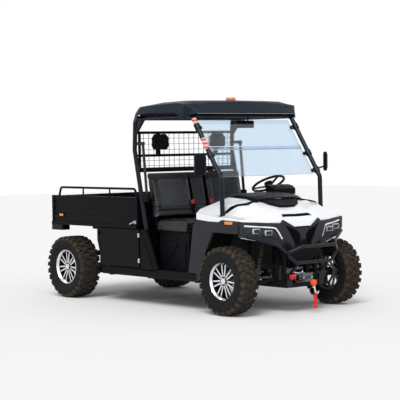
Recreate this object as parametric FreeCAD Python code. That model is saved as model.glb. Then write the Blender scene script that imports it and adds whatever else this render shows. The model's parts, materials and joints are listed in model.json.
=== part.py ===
import FreeCAD, Part
import math
import os

# Side by side utility vehicle, in millimetres.
# +X forward, +Y to the vehicle's left, +Z up, Z = 0 is the ground.
# Stations along X are counted from the rear axle; the export moves the whole
# vehicle so that its origin is the middle of its length, at ground level.

# Driving dimensions
wheelbase = 2627.0
front_reach = 545.0        # bull bar's front, ahead of the front axle
rear_reach = 372.0         # bed posts' rear, behind the rear axle
body_half = 752.0          # outer face of doors, rockers and fenders
running_gap = 0.05         # radial clearance of a shaft in its bore
seat_gap = 0.3             # clearance of a piece from what carries it

# Wheels
tyre_radius = 343.0
lug_height = 20.0
lug_pitches = 26           # lugs round each row of the tread
lug_sink = 7.0             # how deep a lug's root lies in the carcass
rim_lip_radius = 189.0
bead_radius = 178.0
rim_wall = 8.0
rim_face = 827.0           # outer lip face from the middle of the vehicle
front_rim_width = 178.0
rear_rim_width = 216.0
front_tyre_width = 229.0
rear_tyre_width = 279.0
hub_radius = 46.0
hub_depth = 112.0
hub_inset = 22.0
stub_radius = 25.0
spoke_count = 7
spoke_depth = 24.0

# Steering and suspension
kingpin_half = 640.0
kingpin_reach = 92.0       # upright's half height about the hub
upright_radius = 21.0
stud_radius = 8.0
stud_length = 18.0
boss_height = 36.0
steer_arm = 100.0          # steering arm's length behind the kingpin
shaft_stop = 50.0          # front half shafts end this far inboard of the kingpin
rack_height = 392.0
rack_radius = 13.0
wheel_centre = (2075.0, 350.0, 1268.0)
column_lean = 28.0
column_radius = 11.0
column_length = 300.0
arm_radius = 12.5
arm_spread = 135.0         # each wishbone pivot, ahead of or behind the axle
shock_radius = 17.0
spring_radius = 31.0
shaft_radius = 14.0
carrier_radius = 50.0
inner_pivot_half = 262.0   # suspension pivots on the frame
pivot_low = 330.0          # heights of the two wishbones' inner pivots
pivot_high = 470.0
carrier_half = 560.0       # rear hub carriers from the middle of the vehicle
tower_in = 200.0           # inner face of the suspension's posts and towers

# Frame
rail_half = 230.0
rail_size = 50.0
rail_bottom = 255.0
rail_front = 2960.0
rail_rear = -235.0
bed_rail_half = 300.0
bed_rail_top = 780.0
bed_rail_size = 40.0
floor_level = 350.0
sill_half = 690.0

# Cargo bed
bed_front = 1180.0
bed_rear = -340.0
bed_half = 735.0
bed_wall = 20.0
bed_floor = 845.0
bed_plate = 6.0
bed_top = 1135.0
bed_rib = 7.0
tip_x = -150.0
tip_z = 805.0
tip_pin = 10.0
outer_rail_height = 37.0
outer_rail_width = 50.0
grab_radius = 12.5
grab_top = 1232.0
tailgate_thick = 22.0
tailgate_pin = 6.0

# Storage boxes under the bed
box_rear = 470.0
box_front = 1228.0
box_inner = 352.0
box_top = 800.0
box_bottom = 392.0
box_wall = 8.0
door_thick = 16.0
door_hinge_x = 1236.0
door_hinge_y = 758.0
door_pin = 4.0
door_barrel = 8.0

# Cage, roof and glass
pillar_half = 697.0
pillar_radius = 24.0
brace_radius = 17.0
cage_top = 1985.0
cowl_bar_x = 2508.0
cowl_bar_z = 935.0
cowl_bar_radius = 20.0
strut_radius = 18.0
dash_front = 2452.0
knee_x = 2500.0            # where the front pillar leans back
knee_z = 1342.0
roof_corner_x = 2070.0
screen_front = 1160.0
screen_bars = (1830.0, 1585.0, 1421.0)   # heights of the rear screen's bars
screen_columns = 19
screen_wire = 4.0
glass_thick = 5.0
glass_half = 665.0
glass_stand_off = 27.0     # back of the glass, ahead of the pillars' axis
roof_skin = 8.0

# Front body
hood_skin = 5.0
fascia_depth = 24.0
fascia_post_front = 2903.4   # frame posts that the fascia's lower edge leans on
trim_wall = 12.0
bar_radius = 17.0
mesh_pitch = 26.0          # honeycomb of the grille
mesh_hole = 21.0

origin_x = (wheelbase + front_reach - rear_reach) / 2.0
front_axle = wheelbase
hub_z = tyre_radius


def vec(x, y, z):
    return FreeCAD.Vector(x, y, z)


def box(x0, x1, y0, y1, z0, z1):
    return Part.makeBox(x1 - x0, y1 - y0, z1 - z0, vec(x0, y0, z0))


def rod(a, b, radius):
    """Round bar from point a to point b."""
    start = vec(*a)
    run = vec(*b) - start
    return Part.makeCylinder(radius, run.Length, start, run)


def ball(point, radius):
    return Part.makeSphere(radius, vec(*point))


def fuse(pieces):
    shape = pieces[0].multiFuse(pieces[1:]) if len(pieces) > 1 else pieces[0]
    return shape.removeSplitter()


def group(pieces):
    return Part.makeCompound(pieces)


def mirrored(shape):
    return shape.mirror(vec(0, 0, 0), vec(0, 1, 0))


def both(shape):
    """The shape and its twin on the other side, as separate solids."""
    return group([shape, mirrored(shape)])


def joined_both(pieces):
    return fuse(pieces + [mirrored(piece) for piece in pieces])


def wire(points):
    return Part.makePolygon([vec(*p) for p in points] + [vec(*points[0])])


def side_plate(outline, y0, y1):
    """Plate whose outline is drawn in X and Z, from y0 to y1."""
    face = Part.Face(wire([(x, y0, z) for x, z in outline]))
    return face.extrude(vec(0, y1 - y0, 0))


def front_plate(outline, x0, x1):
    """Plate whose outline is drawn in Y and Z, from x0 to x1."""
    face = Part.Face(wire([(x0, y, z) for y, z in outline]))
    return face.extrude(vec(x1 - x0, 0, 0))


def flat_plate(outline, z0, z1):
    """Plate whose outline is drawn in X and Y, from z0 to z1."""
    face = Part.Face(wire([(x, y, z0) for x, y in outline]))
    return face.extrude(vec(0, 0, z1 - z0))


def ruled(sections):
    """Solid whose faces are straight between neighbouring closed outlines."""
    return Part.makeLoft([wire(s) for s in sections], True, True)


def turned(profile):
    """Solid of revolution about the Y axis; the profile is (y, radius) pairs."""
    outline = wire([(0, y, r) for y, r in profile])
    return Part.Face(outline).revolve(vec(0, 0, 0), vec(0, 1, 0), 360)


def tube(points, radius, bend):
    """Round tube of straight runs joined by tangent arcs of one bend radius."""
    corners = [vec(*p) for p in points]
    edges = []
    start = corners[0]
    for before, corner, after in zip(corners, corners[1:], corners[2:]):
        back = (before - corner).normalize()
        ahead = (after - corner).normalize()
        half = back.getAngle(ahead) / 2.0
        reach = bend / math.tan(half)
        first = corner + back * reach
        last = corner + ahead * reach
        middle_way = (back + ahead).normalize()
        middle = corner + middle_way * (bend / math.sin(half) - bend)
        edges.append(Part.LineSegment(start, first).toShape())
        edges.append(Part.Arc(first, middle, last).toShape())
        start = last
    edges.append(Part.LineSegment(start, corners[-1]).toShape())
    run = corners[1] - corners[0]
    ring = Part.Wire([Part.makeCircle(radius, corners[0], run)])
    return Part.Wire(edges).makePipeShell([ring], True, False)


# Wheels

def tyre(width, rim_width):
    """Carcass of one tyre, open to the rim, with its tread lugs."""
    bead = rim_width / 2.0 - rim_wall - 1.0
    half = width / 2.0
    crown = tyre_radius - lug_height
    outer = [(-bead, bead_radius + seat_gap), (-bead, rim_lip_radius + 2), (-bead - 14, rim_lip_radius + 8),
             (-half + 4, 250), (-half + 6, 286), (-half + 30, crown - 6), (-half + 56, crown)]
    inner = [(-y, radius) for y, radius in reversed(outer)]
    hollow = [(bead - 14, bead_radius + seat_gap), (half - 20, 252), (half - 40, 303),
              (-half + 40, 303), (-half + 20, 252), (-bead + 14, bead_radius + seat_gap)]
    carcass = turned(outer + inner + hollow)
    return carcass.multiFuse(tread(half, crown)).removeSplitter()


def tread(half, crown):
    """Lugs in four staggered rows: slanted bars beside the middle, blocks that wrap the shoulders."""
    root = crown - lug_sink
    lugs = []
    for index in range(lug_pitches):
        for side in (-1, 1):
            near = side * 3.0
            far = side * half * 0.5
            bar = flat_plate([(-22, near), (14, near), (24, far), (-6, far)], root, tyre_radius)
            outline = [(half * 0.6, root), (half * 0.6, tyre_radius - 1), (half - 18, tyre_radius - 5),
                       (half, crown - 8), (half, 288), (half - 14, 288)]
            block = front_plate([(side * y, z) for y, z in outline], -21, 21)
            block.rotate(vec(0, 0, 0), vec(0, 0, 1), side * -14)
            shift = 0.0 if side > 0 else 0.5
            for lug, stagger in ((bar, shift), (block, shift + 0.35)):
                lug.rotate(vec(0, 0, 0), vec(0, 1, 0), 180 + (index + stagger) * 360.0 / lug_pitches)
                lugs.append(lug)
    return lugs


def rim(width):
    """Cast rim: barrel with both lips, split spokes and a bored hub."""
    half = width / 2.0
    lip = rim_lip_radius
    bead = bead_radius
    drop = bead - 16.0
    barrel = [(-half, lip), (-half + rim_wall, lip), (-half + rim_wall, bead), (-half + 34, bead),
              (-half + 48, drop), (half - 62, drop), (half - 44, bead), (half - rim_wall, bead),
              (half - rim_wall, lip), (half, lip), (half, lip - 8), (half - 22, bead - 12),
              (half - 60, drop - 8), (-half + 48, drop - 8), (-half + 30, bead - 10), (-half, bead - 4)]
    pieces = [turned(barrel)]
    face = half - hub_inset
    pieces.append(Part.makeCylinder(hub_radius, hub_depth, vec(0, face - hub_depth, 0), vec(0, 1, 0)))
    for index in range(spoke_count):
        pieces.append(spoke(face, drop, index * 360.0 / spoke_count))
    shape = fuse(pieces)
    bore_depth = hub_depth - 20.0
    shape = shape.cut(Part.makeCylinder(stub_radius + running_gap, bore_depth,
                                        vec(0, face - hub_depth, 0), vec(0, 1, 0)))
    return shape


def spoke(face, reach, angle):
    """One split spoke: two bars that part towards the rim's lip."""
    arms = []
    for lean in (-1, 1):
        root = lean * 9.0
        tip = lean * 27.0
        outline = [(root - 8, 30), (root + 8, 30), (tip + 7, reach - 2), (tip - 7, reach - 2)]
        face_wire = wire([(x, face - spoke_depth - 4, z) for x, z in outline])
        arms.append(Part.Face(face_wire).extrude(vec(0, spoke_depth, 0)))
    shape = fuse(arms)
    shape.rotate(vec(0, 0, 0), vec(0, 1, 0), angle)
    return shape


def placed_wheel(shape, axle_x, rim_width, side):
    if side < 0:
        shape = mirrored(shape)
    shape.translate(vec(axle_x, side * (rim_face - rim_width / 2.0), hub_z))
    return shape


# Steering

def knuckle(side):
    """Upright with its bearing housing, stub axle and steering arm."""
    x = front_axle
    top = hub_z + kingpin_reach
    low = hub_z - kingpin_reach
    stub_end = rim_face - hub_inset - 22.0
    upright = rod((x, kingpin_half, low), (x, kingpin_half, top), upright_radius)
    housing = rod((x, kingpin_half - 32, hub_z), (x, kingpin_half + 28, hub_z), 44.0)
    stub = rod((x, kingpin_half, hub_z), (x, stub_end, hub_z), stub_radius)
    eye_y = kingpin_half - 25.0
    arm = flat_plate([(x - steer_arm - 16, eye_y - 14), (x - steer_arm + 14, eye_y - 16),
                      (x - 15, kingpin_half - 26), (x - 15, kingpin_half + 10),
                      (x - steer_arm - 16, eye_y + 14)],
                     rack_height - 38, rack_height - 22)
    pieces = [upright, housing, stub, arm]
    shape = fuse(pieces)
    for z, way in ((top, -1), (low, 1)):
        shape = shape.cut(rod((x, kingpin_half, z), (x, kingpin_half, z + way * (stud_length + 2)),
                              stud_radius + running_gap))
    return shape if side > 0 else mirrored(shape)


def steering_rack():
    """Rack bar with its tie rods and the eyes over the steering arms."""
    x = front_axle - steer_arm
    eye = kingpin_half - 25.0
    bar = rod((x, -eye, rack_height), (x, eye, rack_height), rack_radius)
    eyes = [rod((x, y, rack_height - 16), (x, y, rack_height + 14), 17.0) for y in (-eye, eye)]
    return fuse([bar] + eyes)


def steering_wheel():
    """Rim, three spokes and hub on the end of the column."""
    ring = Part.makeTorus(175, 13, vec(0, 0, 0), vec(0, 0, 1))
    hub = Part.makeCylinder(38, 34, vec(0, 0, -40))
    shaft = Part.makeCylinder(column_radius, column_length - 35, vec(0, 0, -column_length))
    arms = []
    for angle in (0, 130, 230):
        arm = ruled([[(20, -18, -30), (20, 18, -30), (20, 18, -20), (20, -18, -20)],
                     [(165, -12, -5), (165, 12, -5), (165, 12, 4), (165, -12, 4)]])
        arm.rotate(vec(0, 0, 0), vec(0, 0, 1), angle)
        arms.append(arm)
    return column_frame(fuse([ring, hub, shaft] + arms))


def column_frame(shape):
    """Moves a shape from the steering column's own axis, Z up it, to its place."""
    shape.rotate(vec(0, 0, 0), vec(0, 1, 0), -column_lean)
    shape.translate(vec(*wheel_centre))
    return shape


# Suspension

axle_specs = [
    # axle x, wheel carrier half track, shock offset, shock foot half, shock head half, shock head z
    (wheelbase, kingpin_half, 128.0, 490.0, 372.0, 770.0),
    (0.0, carrier_half, 128.0, 440.0, 345.0, 690.0),
]


def shock_foot_height(outer, foot):
    """Height of the lower wishbone's axis where the damper stands on it."""
    low_boss = hub_z - kingpin_reach - seat_gap - boss_height / 2.0
    share = (foot - inner_pivot_half) / (outer - inner_pivot_half)
    return pivot_low + share * (low_boss - pivot_low)


def suspension_arms():
    """Upper and lower wishbones of all four corners, with ball joints or hub carriers."""
    corners = []
    for axle_x, outer, shock_x, foot in [spec[:4] for spec in axle_specs]:
        low = hub_z - kingpin_reach
        top = hub_z + kingpin_reach
        pieces = []
        for z_out, z_in, way in ((low, pivot_low, -1), (top, pivot_high, 1)):
            boss_z = z_out + way * (seat_gap + boss_height / 2.0)
            tip = (axle_x, outer - 6, boss_z)
            for spread in (-arm_spread, arm_spread):
                pieces.append(rod((axle_x + spread, inner_pivot_half + 24, z_in), tip, arm_radius))
                pieces.append(rod((axle_x + spread - 26, inner_pivot_half + 12, z_in),
                                  (axle_x + spread + 26, inner_pivot_half + 12, z_in), 20.0))
            pieces.append(rod((axle_x, outer, z_out + way * seat_gap),
                              (axle_x, outer, z_out + way * (seat_gap + boss_height)), upright_radius))
            if axle_x > 0:
                pieces.append(rod((axle_x, outer, z_out + way * seat_gap),
                                  (axle_x, outer, z_out - way * stud_length), stud_radius))
        foot_z = shock_foot_height(outer, foot)
        for flank in (-1, 1):
            x = axle_x + shock_x + flank * (shock_radius + seat_gap + 3)
            pieces.append(box(x - 3, x + 3, foot - 22, foot + 22, foot_z - 10, foot_z + 46))
        pieces.append(box(axle_x + 20, axle_x + shock_x + 26, foot - 16, foot + 16, foot_z - 12, foot_z + 8))
        if axle_x == 0:
            pieces.append(rod((axle_x, outer, low - 1), (axle_x, outer, top + 1), upright_radius))
            pieces.append(rod((axle_x, outer - 34, hub_z), (axle_x, outer + 30, hub_z), carrier_radius))
            stub_end = rim_face - hub_inset - 22.0
            pieces.append(rod((axle_x, outer, hub_z), (axle_x, stub_end, hub_z), stub_radius))
        corners.append(pieces[0].multiFuse(pieces[1:]))
    return group([piece for corner in corners for piece in (corner, mirrored(corner))])


def shock_absorbers():
    """Four coil-over dampers between the lower arms and the frame towers."""
    units = []
    for axle_x, outer, shock_x, foot, head, head_z in axle_specs:
        x = axle_x + shock_x
        foot_z = shock_foot_height(outer, foot) + 30.0
        eyes = [rod((x - shock_radius, y, z), (x + shock_radius, y, z), 15.0)
                for y, z in ((foot, foot_z), (head, head_z))]
        parts = []
        for start, end, radius in ((0.0, 1.0, 10.0), (0.22, 0.86, spring_radius), (0.10, 0.24, 21.0)):
            near, far = [(x, foot + share * (head - foot), foot_z + share * (head_z - foot_z))
                         for share in (start, end)]
            parts.append(rod(near, far, radius))
        units.append(fuse(eyes + parts))
    return group([piece for unit in units for piece in (unit, mirrored(unit))])


def drive_units():
    """Rear motor and gearbox block, front gear case and the half shafts."""
    rear_case = box(-165, 215, -150, 150, rail_bottom + rail_size + seat_gap, 560)
    motor = rod((105, -190, 440), (105, 190, 440), 88.0)
    front_case = box(front_axle - 80, front_axle + 90, -95, 95, rail_bottom + rail_size + seat_gap, 420)
    rear_shafts = [rod((0, 0, hub_z), (0, carrier_half - 36, hub_z), shaft_radius),
                   rod((0, 150, hub_z), (0, 196, hub_z), 40.0), rod((0, 455, hub_z), (0, 522, hub_z), 38.0)]
    front_end = kingpin_half - shaft_stop
    front_shafts = [rod((front_axle, 0, hub_z), (front_axle, front_end, hub_z), shaft_radius),
                    rod((front_axle, 95, hub_z), (front_axle, 140, hub_z), 38.0)]
    rear = fuse([rear_case, motor] + rear_shafts + [mirrored(s) for s in rear_shafts])
    front = fuse([front_case] + front_shafts + [mirrored(s) for s in front_shafts])
    return group([rear, front])


# Frame

cross_members = (-210.0, 60.0, 420.0, 1290.0, 2060.0, wheelbase - steer_arm, 2820.0, 2935.0)
outriggers = (620.0, 1290.0, 2060.0)
bed_struts = (-70.0, 420.0, 1100.0)


def levelled(shape, z0, z1):
    """The part of a shape between two levels."""
    return shape.common(box(rail_rear - 100, rail_front + 100, -body_half, body_half, z0, z1))


def main_frame():
    """Welded ladder frame, each member butted against its neighbours with the seating gap."""
    low = rail_bottom
    top = rail_bottom + rail_size
    inner = rail_half - rail_size / 2.0
    outer = rail_half + rail_size / 2.0
    tower_x = front_axle + axle_specs[0][2]
    tower_top = axle_specs[0][5] + 22
    left = [box(rail_rear, rail_front, inner, outer, low, top),
            box(outriggers[0] - 25, outriggers[-1] + 25, sill_half - 20, sill_half + 20,
                top, floor_level - 5),
            box(fascia_post_front - 40, fascia_post_front, inner, inner + 35, top + seat_gap, 680)]
    for x in outriggers:
        left.append(box(x - 25, x + 25, outer + seat_gap, sill_half - 20 - seat_gap,
                        top - 25, floor_level - 5))
    left += bed_subframe(top)
    left += suspension_towers(top + seat_gap)
    left += cowl_struts(top + seat_gap)
    rack_x = front_axle - steer_arm
    left.append(box(rack_x - 20, rack_x + 20, 132, 168, top + seat_gap, rack_height + 24).cut(
        rod((rack_x, 120, rack_height), (rack_x, 180, rack_height), rack_radius + running_gap)))
    between = inner - seat_gap
    middle = [box(x - 25, x + 25, -between, between, low, top) for x in cross_members]
    bed_between = bed_rail_half - 20 - seat_gap
    middle.append(box(1080, 1120, -bed_between, bed_between, bed_rail_top - bed_rail_size, bed_rail_top))
    tower_between = tower_in - seat_gap
    middle.append(box(tower_x - 26, tower_x + 26, -tower_between, tower_between, tower_top - 12, tower_top))
    middle.append(cowl_bar(cowl_bar_radius))
    return group(middle + left + [mirrored(member) for member in left])


def bed_subframe(top):
    """Bed rail with the ears of the tipping hinge, and its struts up from the ladder's rail."""
    rail = box(tip_x - 22, bed_front - 60, bed_rail_half - 20, bed_rail_half + 20,
               bed_rail_top - bed_rail_size, bed_rail_top)
    ears = []
    for side in (-1, 1):
        ear_y = bed_rail_half + side * 17
        ears.append(side_plate([(tip_x - 22, bed_rail_top - 20), (tip_x + 60, bed_rail_top - 20),
                                (tip_x + 22, tip_z + 12), (tip_x, tip_z + 22), (tip_x - 22, tip_z + 12)],
                               ear_y - 4, ear_y + 4))
    bore = rod((tip_x, bed_rail_half - 40, tip_z), (tip_x, bed_rail_half + 40, tip_z), tip_pin + running_gap)
    members = [fuse([rail] + ears).cut(bore)]
    for x in bed_struts:
        strut = rod((x, rail_half + 5, top - 5), (x, bed_rail_half, bed_rail_top - 10), 17.0)
        members.append(levelled(strut, top + seat_gap, bed_rail_top - bed_rail_size - seat_gap))
    return members


def suspension_towers(foot):
    """Posts with the wishbones' pivots, and the towers that hold the dampers' heads."""
    members = []
    for spec in axle_specs:
        axle_x, shock_x, head, head_z = spec[0], spec[2], spec[4], spec[5]
        posts = []
        for spread in (-arm_spread, arm_spread):
            x = axle_x + spread
            pivots = [box(x - 16, x + 16, tower_in, inner_pivot_half - 8 - seat_gap, z - 20, z + 20)
                      for z in (pivot_low, pivot_high)]
            posts.append(fuse([box(x - 16, x + 16, tower_in, tower_in + 35, foot, 500)] + pivots))
        members.append(posts[0])
        x = axle_x + shock_x
        pieces = [posts[1], box(x - 26, x + 26, tower_in, tower_in + 35, foot, head_z + 22),
                  box(x - 26, x + 26, tower_in, bed_rail_half, head_z + 10, head_z + 22)]
        for flank in (-1, 1):
            ear = x + flank * (shock_radius + seat_gap + 4)
            pieces.append(front_plate([(tower_in, head_z - 90), (head + 22, head_z - 20),
                                       (head + 22, head_z + 22), (tower_in, head_z + 22)], ear - 4, ear + 4))
        if axle_x == 0:
            pieces.append(box(x - 26, x + 26, bed_rail_half - 20, bed_rail_half + 20, head_z,
                              bed_rail_top - bed_rail_size - seat_gap))
        members.append(fuse(pieces))
    return members


def cowl_bar(radius):
    reach = pillar_half + 20
    return rod((cowl_bar_x, -reach, cowl_bar_z), (cowl_bar_x, reach, cowl_bar_z), radius)


def cowl_struts(foot):
    """Struts from the rails and the front towers up to the bar that carries the pillars' feet."""
    clearance = cowl_bar(cowl_bar_radius + seat_gap)
    tower_x = front_axle + axle_specs[0][2]
    tower_top = axle_specs[0][5] + 22 + seat_gap
    block = box(dash_front + seat_gap, cowl_bar_x + 10, 380, 410, cowl_bar_z, cowl_bar_z + 50)
    strut_foot = (2400, rail_half, rail_bottom)
    strut_head = (cowl_bar_x, 330, cowl_bar_z)
    rail_strut = rod(strut_foot, strut_head, strut_radius)
    strut_clearance = rod(strut_foot, strut_head, strut_radius + seat_gap)
    tower_strut = rod((tower_x - 20, rail_half, tower_top - 14), strut_head, 14.0)
    tower_box = box(tower_x - 26 - seat_gap, tower_x + 26, tower_in, bed_rail_half + 40, 600, tower_top)
    return [block.cut(clearance), levelled(rail_strut, foot, cowl_bar_z + 50).cut(clearance),
            tower_strut.cut(tower_box).cut(clearance).cut(strut_clearance)]


# Cargo bed

def ribbed_wall(y_out, thick, z0, z1, flip):
    """Y and Z outline of a pressed steel wall with three lengthwise ribs."""
    pitch = (z1 - z0) / 4.0
    outer = [(y_out, z0)]
    for index in range(3):
        middle = z0 + pitch * (index + 1)
        for dz, dy in ((-26, 0), (-16, -bed_rib), (16, -bed_rib), (26, 0)):
            outer.append((y_out + dy, middle + dz))
    outer.append((y_out, z1))
    return [(flip * y, z) for y, z in outer + [(y_out - thick, z1), (y_out - thick, z0)]]


def cargo_bed():
    """Ribbed steel tray with its underframe, outer rails, rear posts and grab rails."""
    inner = bed_half - bed_wall
    low = bed_floor - outer_rail_height
    post_rear = -rear_reach
    side = [front_plate(ribbed_wall(bed_half, bed_wall, bed_floor, bed_top, 1), bed_rear, bed_front),
            box(bed_rear, bed_front, inner - 6, bed_half + 4, bed_top - 4, bed_top + 6),
            box(post_rear, bed_front, bed_half + 17 - outer_rail_width, bed_half + 17, low, bed_floor),
            box(post_rear, bed_rear, inner, bed_half + 8, bed_floor, bed_top + 6),
            box(tip_x + 72, bed_front - 60, bed_rail_half - 20, bed_rail_half + 20,
                bed_rail_top + seat_gap, bed_floor),
            rod((tip_x, bed_rail_half - 40, tip_z), (tip_x, bed_rail_half + 40, tip_z), tip_pin),
            rod((tip_x, bed_rail_half - 9, tip_z), (tip_x, bed_rail_half + 9, tip_z), 22.0),
            side_plate([(tip_x - 20, tip_z), (tip_x + 10, bed_rail_top + 4), (tip_x + 90, bed_rail_top + 4),
                        (tip_x + 90, bed_floor), (tip_x - 20, bed_floor)],
                       bed_rail_half - 9, bed_rail_half + 9),
            tube([(bed_rear + 90, bed_half - 12, bed_top), (bed_rear + 122, bed_half - 12, grab_top),
                  (bed_front - 40, bed_half - 12, grab_top), (bed_front - 12, bed_half - 12, bed_top)],
                 grab_radius, 40.0)]
    for share in (0.36, 0.68):
        x = bed_rear + share * (bed_front - bed_rear)
        side.append(rod((x, bed_half - 12, bed_top), (x, bed_half - 12, grab_top), 9.0))
    shape = joined_both(side)
    middle = [box(bed_rear, bed_front, -inner, inner, bed_floor, bed_floor + bed_plate),
              box(bed_front - bed_wall, bed_front, -inner, inner, bed_floor, bed_top + 6)]
    for index in range(6):
        x = bed_rear + 60 + index * (bed_front - bed_rear - 120) / 5.0
        middle.append(box(x - 15, x + 15, -inner, inner, bed_floor - 16, bed_floor))
    for index in range(9):
        y = -560 + index * 140.0
        middle.append(box(bed_rear, bed_front - bed_wall, y - 22, y + 22,
                          bed_floor + bed_plate, bed_floor + 12))
    shape = fuse([shape] + middle)
    for way in (-1, 1):
        shape = shape.cut(rod((tailgate_x, way * (inner - 2), tailgate_z),
                              (tailgate_x, way * (bed_half - 6), tailgate_z), tailgate_pin + running_gap))
    return shape


tailgate_x = -rear_reach + 2.0 + tailgate_thick / 2.0
tailgate_z = bed_floor + 24.0


def tailgate():
    """Ribbed drop gate hinged on two pins at its foot."""
    half = bed_half - bed_wall - 8.0
    x0 = tailgate_x - tailgate_thick / 2.0
    x1 = tailgate_x + tailgate_thick / 2.0
    low = tailgate_z - 13.0
    top = bed_top
    outline = [(x0, low), (x1, low), (x1, top)]
    pitch = (top - low) / 3.0
    for index in (1, 0):
        middle = low + pitch * (index + 1)
        for dz, dx in ((30, 0), (18, 8), (-18, 8), (-30, 0)):
            outline.append((x0 + dx, middle + dz))
    outline.insert(3, (x0, top))
    panel = side_plate(outline, -half, half)
    pin = rod((tailgate_x, -bed_half + 8, tailgate_z), (tailgate_x, bed_half - 8, tailgate_z), tailgate_pin)
    latches = [box(x0, x0 + 6, side * (half - 90) - 45, side * (half - 90) + 45, top - 60, top - 30)
               for side in (-1, 1)]
    return fuse([panel, pin] + latches)


def tail_lamps():
    """Lamp boxes under the rear ends of the bed's outer rails."""
    low = bed_floor - outer_rail_height - 62.0
    top = bed_floor - outer_rail_height
    shell = box(-rear_reach, -170, bed_half + 17 - 108, bed_half + 15, low, top)
    shell = shell.cut(box(-rear_reach - 1, -rear_reach + 9, bed_half + 17 - 98, bed_half + 5,
                          low + 10, top - 10))
    marker = box(bed_rear + 20, bed_rear + 92, bed_half + 0.3, bed_half + 7, 890, 916)
    return group([shell, mirrored(shell), marker, mirrored(marker)])


# Storage boxes

def box_outline(inset):
    """X and Z outline of a storage box: its rear foot is cut back for the tyre."""
    return [(box_rear + inset, box_top - inset), (box_rear + inset, 660),
            (box_rear + 90 + inset, box_bottom + inset),
            (box_front - inset, box_bottom + inset), (box_front - inset, box_top - inset)]


def storage_boxes():
    """Open-sided boxes under the bed, with the pins that their doors hang on."""
    face = body_half - door_thick
    shell = side_plate(box_outline(0), box_inner, face)
    shell = shell.cut(side_plate(box_outline(box_wall), box_inner + box_wall, face + 1))
    pieces = [shell]
    for z in hinge_heights:
        for way in (-1, 1):
            ear = z + way * 21.0
            pieces.append(box(box_front - 6, door_hinge_x + 6, face - 20, door_hinge_y + 6, ear - 4, ear + 4))
        pieces.append(hinge_rod(z, 24, door_pin))
    # the frame that the box hangs from, back to the bed rails
    pieces.append(box(box_rear + 40, box_front - 140, bed_rail_half + 20 + seat_gap, box_inner + 1, 745, 765))
    return both(fuse(pieces))


hinge_heights = (470.0, 765.0)


def hinge_rod(z, half_length, radius):
    """Upright round bar on the door's hinge line."""
    x, y = door_hinge_x, door_hinge_y
    return rod((x, y, z - half_length), (x, y, z + half_length), radius)


def storage_door(side):
    """Flat pressed door with two hinge leaves and a turn latch."""
    y0 = body_half - door_thick + seat_gap
    outline = [(box_rear + 26, box_top - 2), (box_rear + 22, 664), (box_rear + 104, box_bottom + 8),
               (box_front - 6, box_bottom + 8), (box_front - 6, box_top - 2)]
    panel = side_plate(outline, y0, body_half)
    recess = side_plate([(box_rear + 60, box_top - 26), (box_rear + 55, 668),
                         (box_rear + 126, box_bottom + 32), (box_front - 44, box_bottom + 32),
                         (box_front - 44, box_top - 26)],
                        body_half - 3, body_half + 1)
    panel = panel.cut(recess)
    pieces = [panel]
    for z in hinge_heights:
        pieces.append(box(door_hinge_x - 46, door_hinge_x, body_half, body_half + 4, z - 14, z + 14))
        pieces.append(hinge_rod(z, 15, door_barrel))
    shape = fuse(pieces)
    for z in hinge_heights:
        shape = shape.cut(hinge_rod(z, 30, door_pin + running_gap))
    latch_x = box_rear + 52
    latch = rod((latch_x, body_half - 2, box_top - 50), (latch_x, body_half + 9, box_top - 50), 15.0)
    handle = box(latch_x - 6, latch_x + 6, body_half + 5, body_half + 14, box_top - 78, box_top - 40)
    shape = fuse([shape, latch, handle])
    return shape if side > 0 else mirrored(shape)


# Body

def body_sides():
    """Rockers and the panels at the foot of the rear pillars."""
    inner = sill_half + 20 + seat_gap
    rocker = front_plate([(inner, 298), (735, 298), (body_half, 318), (body_half - 4, 372), (735, 386),
                          (inner, 386)], 560, 2150)
    post = side_plate([(1250, 384), (1250, 802), (1336, 802), (1398, 700), (1526, 412), (1526, 384)],
                      body_half - 26, body_half)
    rib = side_plate([(1310, 384), (1268, 700), (1300, 700), (1470, 384)], body_half - 1, body_half + 7)
    pieces = [rocker, post, rib]
    shape = fuse(pieces).cut(box(500, box_front + 20, 300, body_half + 20, box_bottom - 1, 900))
    return both(shape.cut(pillar_foot(seat_gap)))


def pillar_foot(gap):
    """The lower run of the rear pillar, grown by a gap, to cut its neighbours with."""
    lean = rod((1113, pillar_half, 1640), (1290, pillar_half, 815), pillar_radius + gap)
    return rod((1290, pillar_half, 300), (1290, pillar_half, 830), pillar_radius + gap).fuse(lean)


def floor_pan():
    """Cab floor, toe board and the tunnel panel under the seat."""
    half = sill_half + 20.0
    floor = box(1265, 2130, -half, half, floor_level, floor_level + 8)
    toe = side_plate([(2130, floor_level), (2330, 640), (2330, 900), (2322, 900), (2322, 642),
                      (2122, floor_level + 8)], -428, 428)
    return fuse([floor, toe]).cut(pillar_foot(seat_gap)).cut(mirrored(pillar_foot(seat_gap)))


def seat_base():
    """Moulded box under the bench, with its ribbed flanks."""
    foot = floor_level + 8 + seat_gap
    shell = side_plate([(1420, foot), (1850, foot), (1872, 700), (1872, 786), (1400, 786), (1400, 560)],
                       -600, 600)
    hollow = side_plate([(1432, foot - 1), (1838, foot - 1), (1860, 700), (1860, 774), (1412, 774),
                         (1412, 560)], -588, 588)
    shell = shell.cut(hollow)
    ribs = []
    for outline in ([(1470, 440), (1500, 440), (1690, 640), (1690, 664), (1672, 664)],
                    [(1690, 700), (1470, 700), (1470, 724), (1700, 724)],
                    [(1800, 400), (1816, 400), (1830, 690), (1812, 690)]):
        ribs.append(side_plate(outline, 599, 612))
    back = side_plate([(1400, 780), (1380, 786), (1309.6, 925), (1221.6, 1396), (1209, 1396), (1297, 922),
                       (1372, 774), (1400, 774)], -600, 600)
    return fuse([shell, back] + ribs + [mirrored(r) for r in ribs])


def seat_cushion():
    return side_plate([(1384, 786.3), (1868, 786.3), (1888, 840), (1880, 893), (1840, 915), (1420, 905),
                       (1376, 880)], -640, 640)


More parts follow.
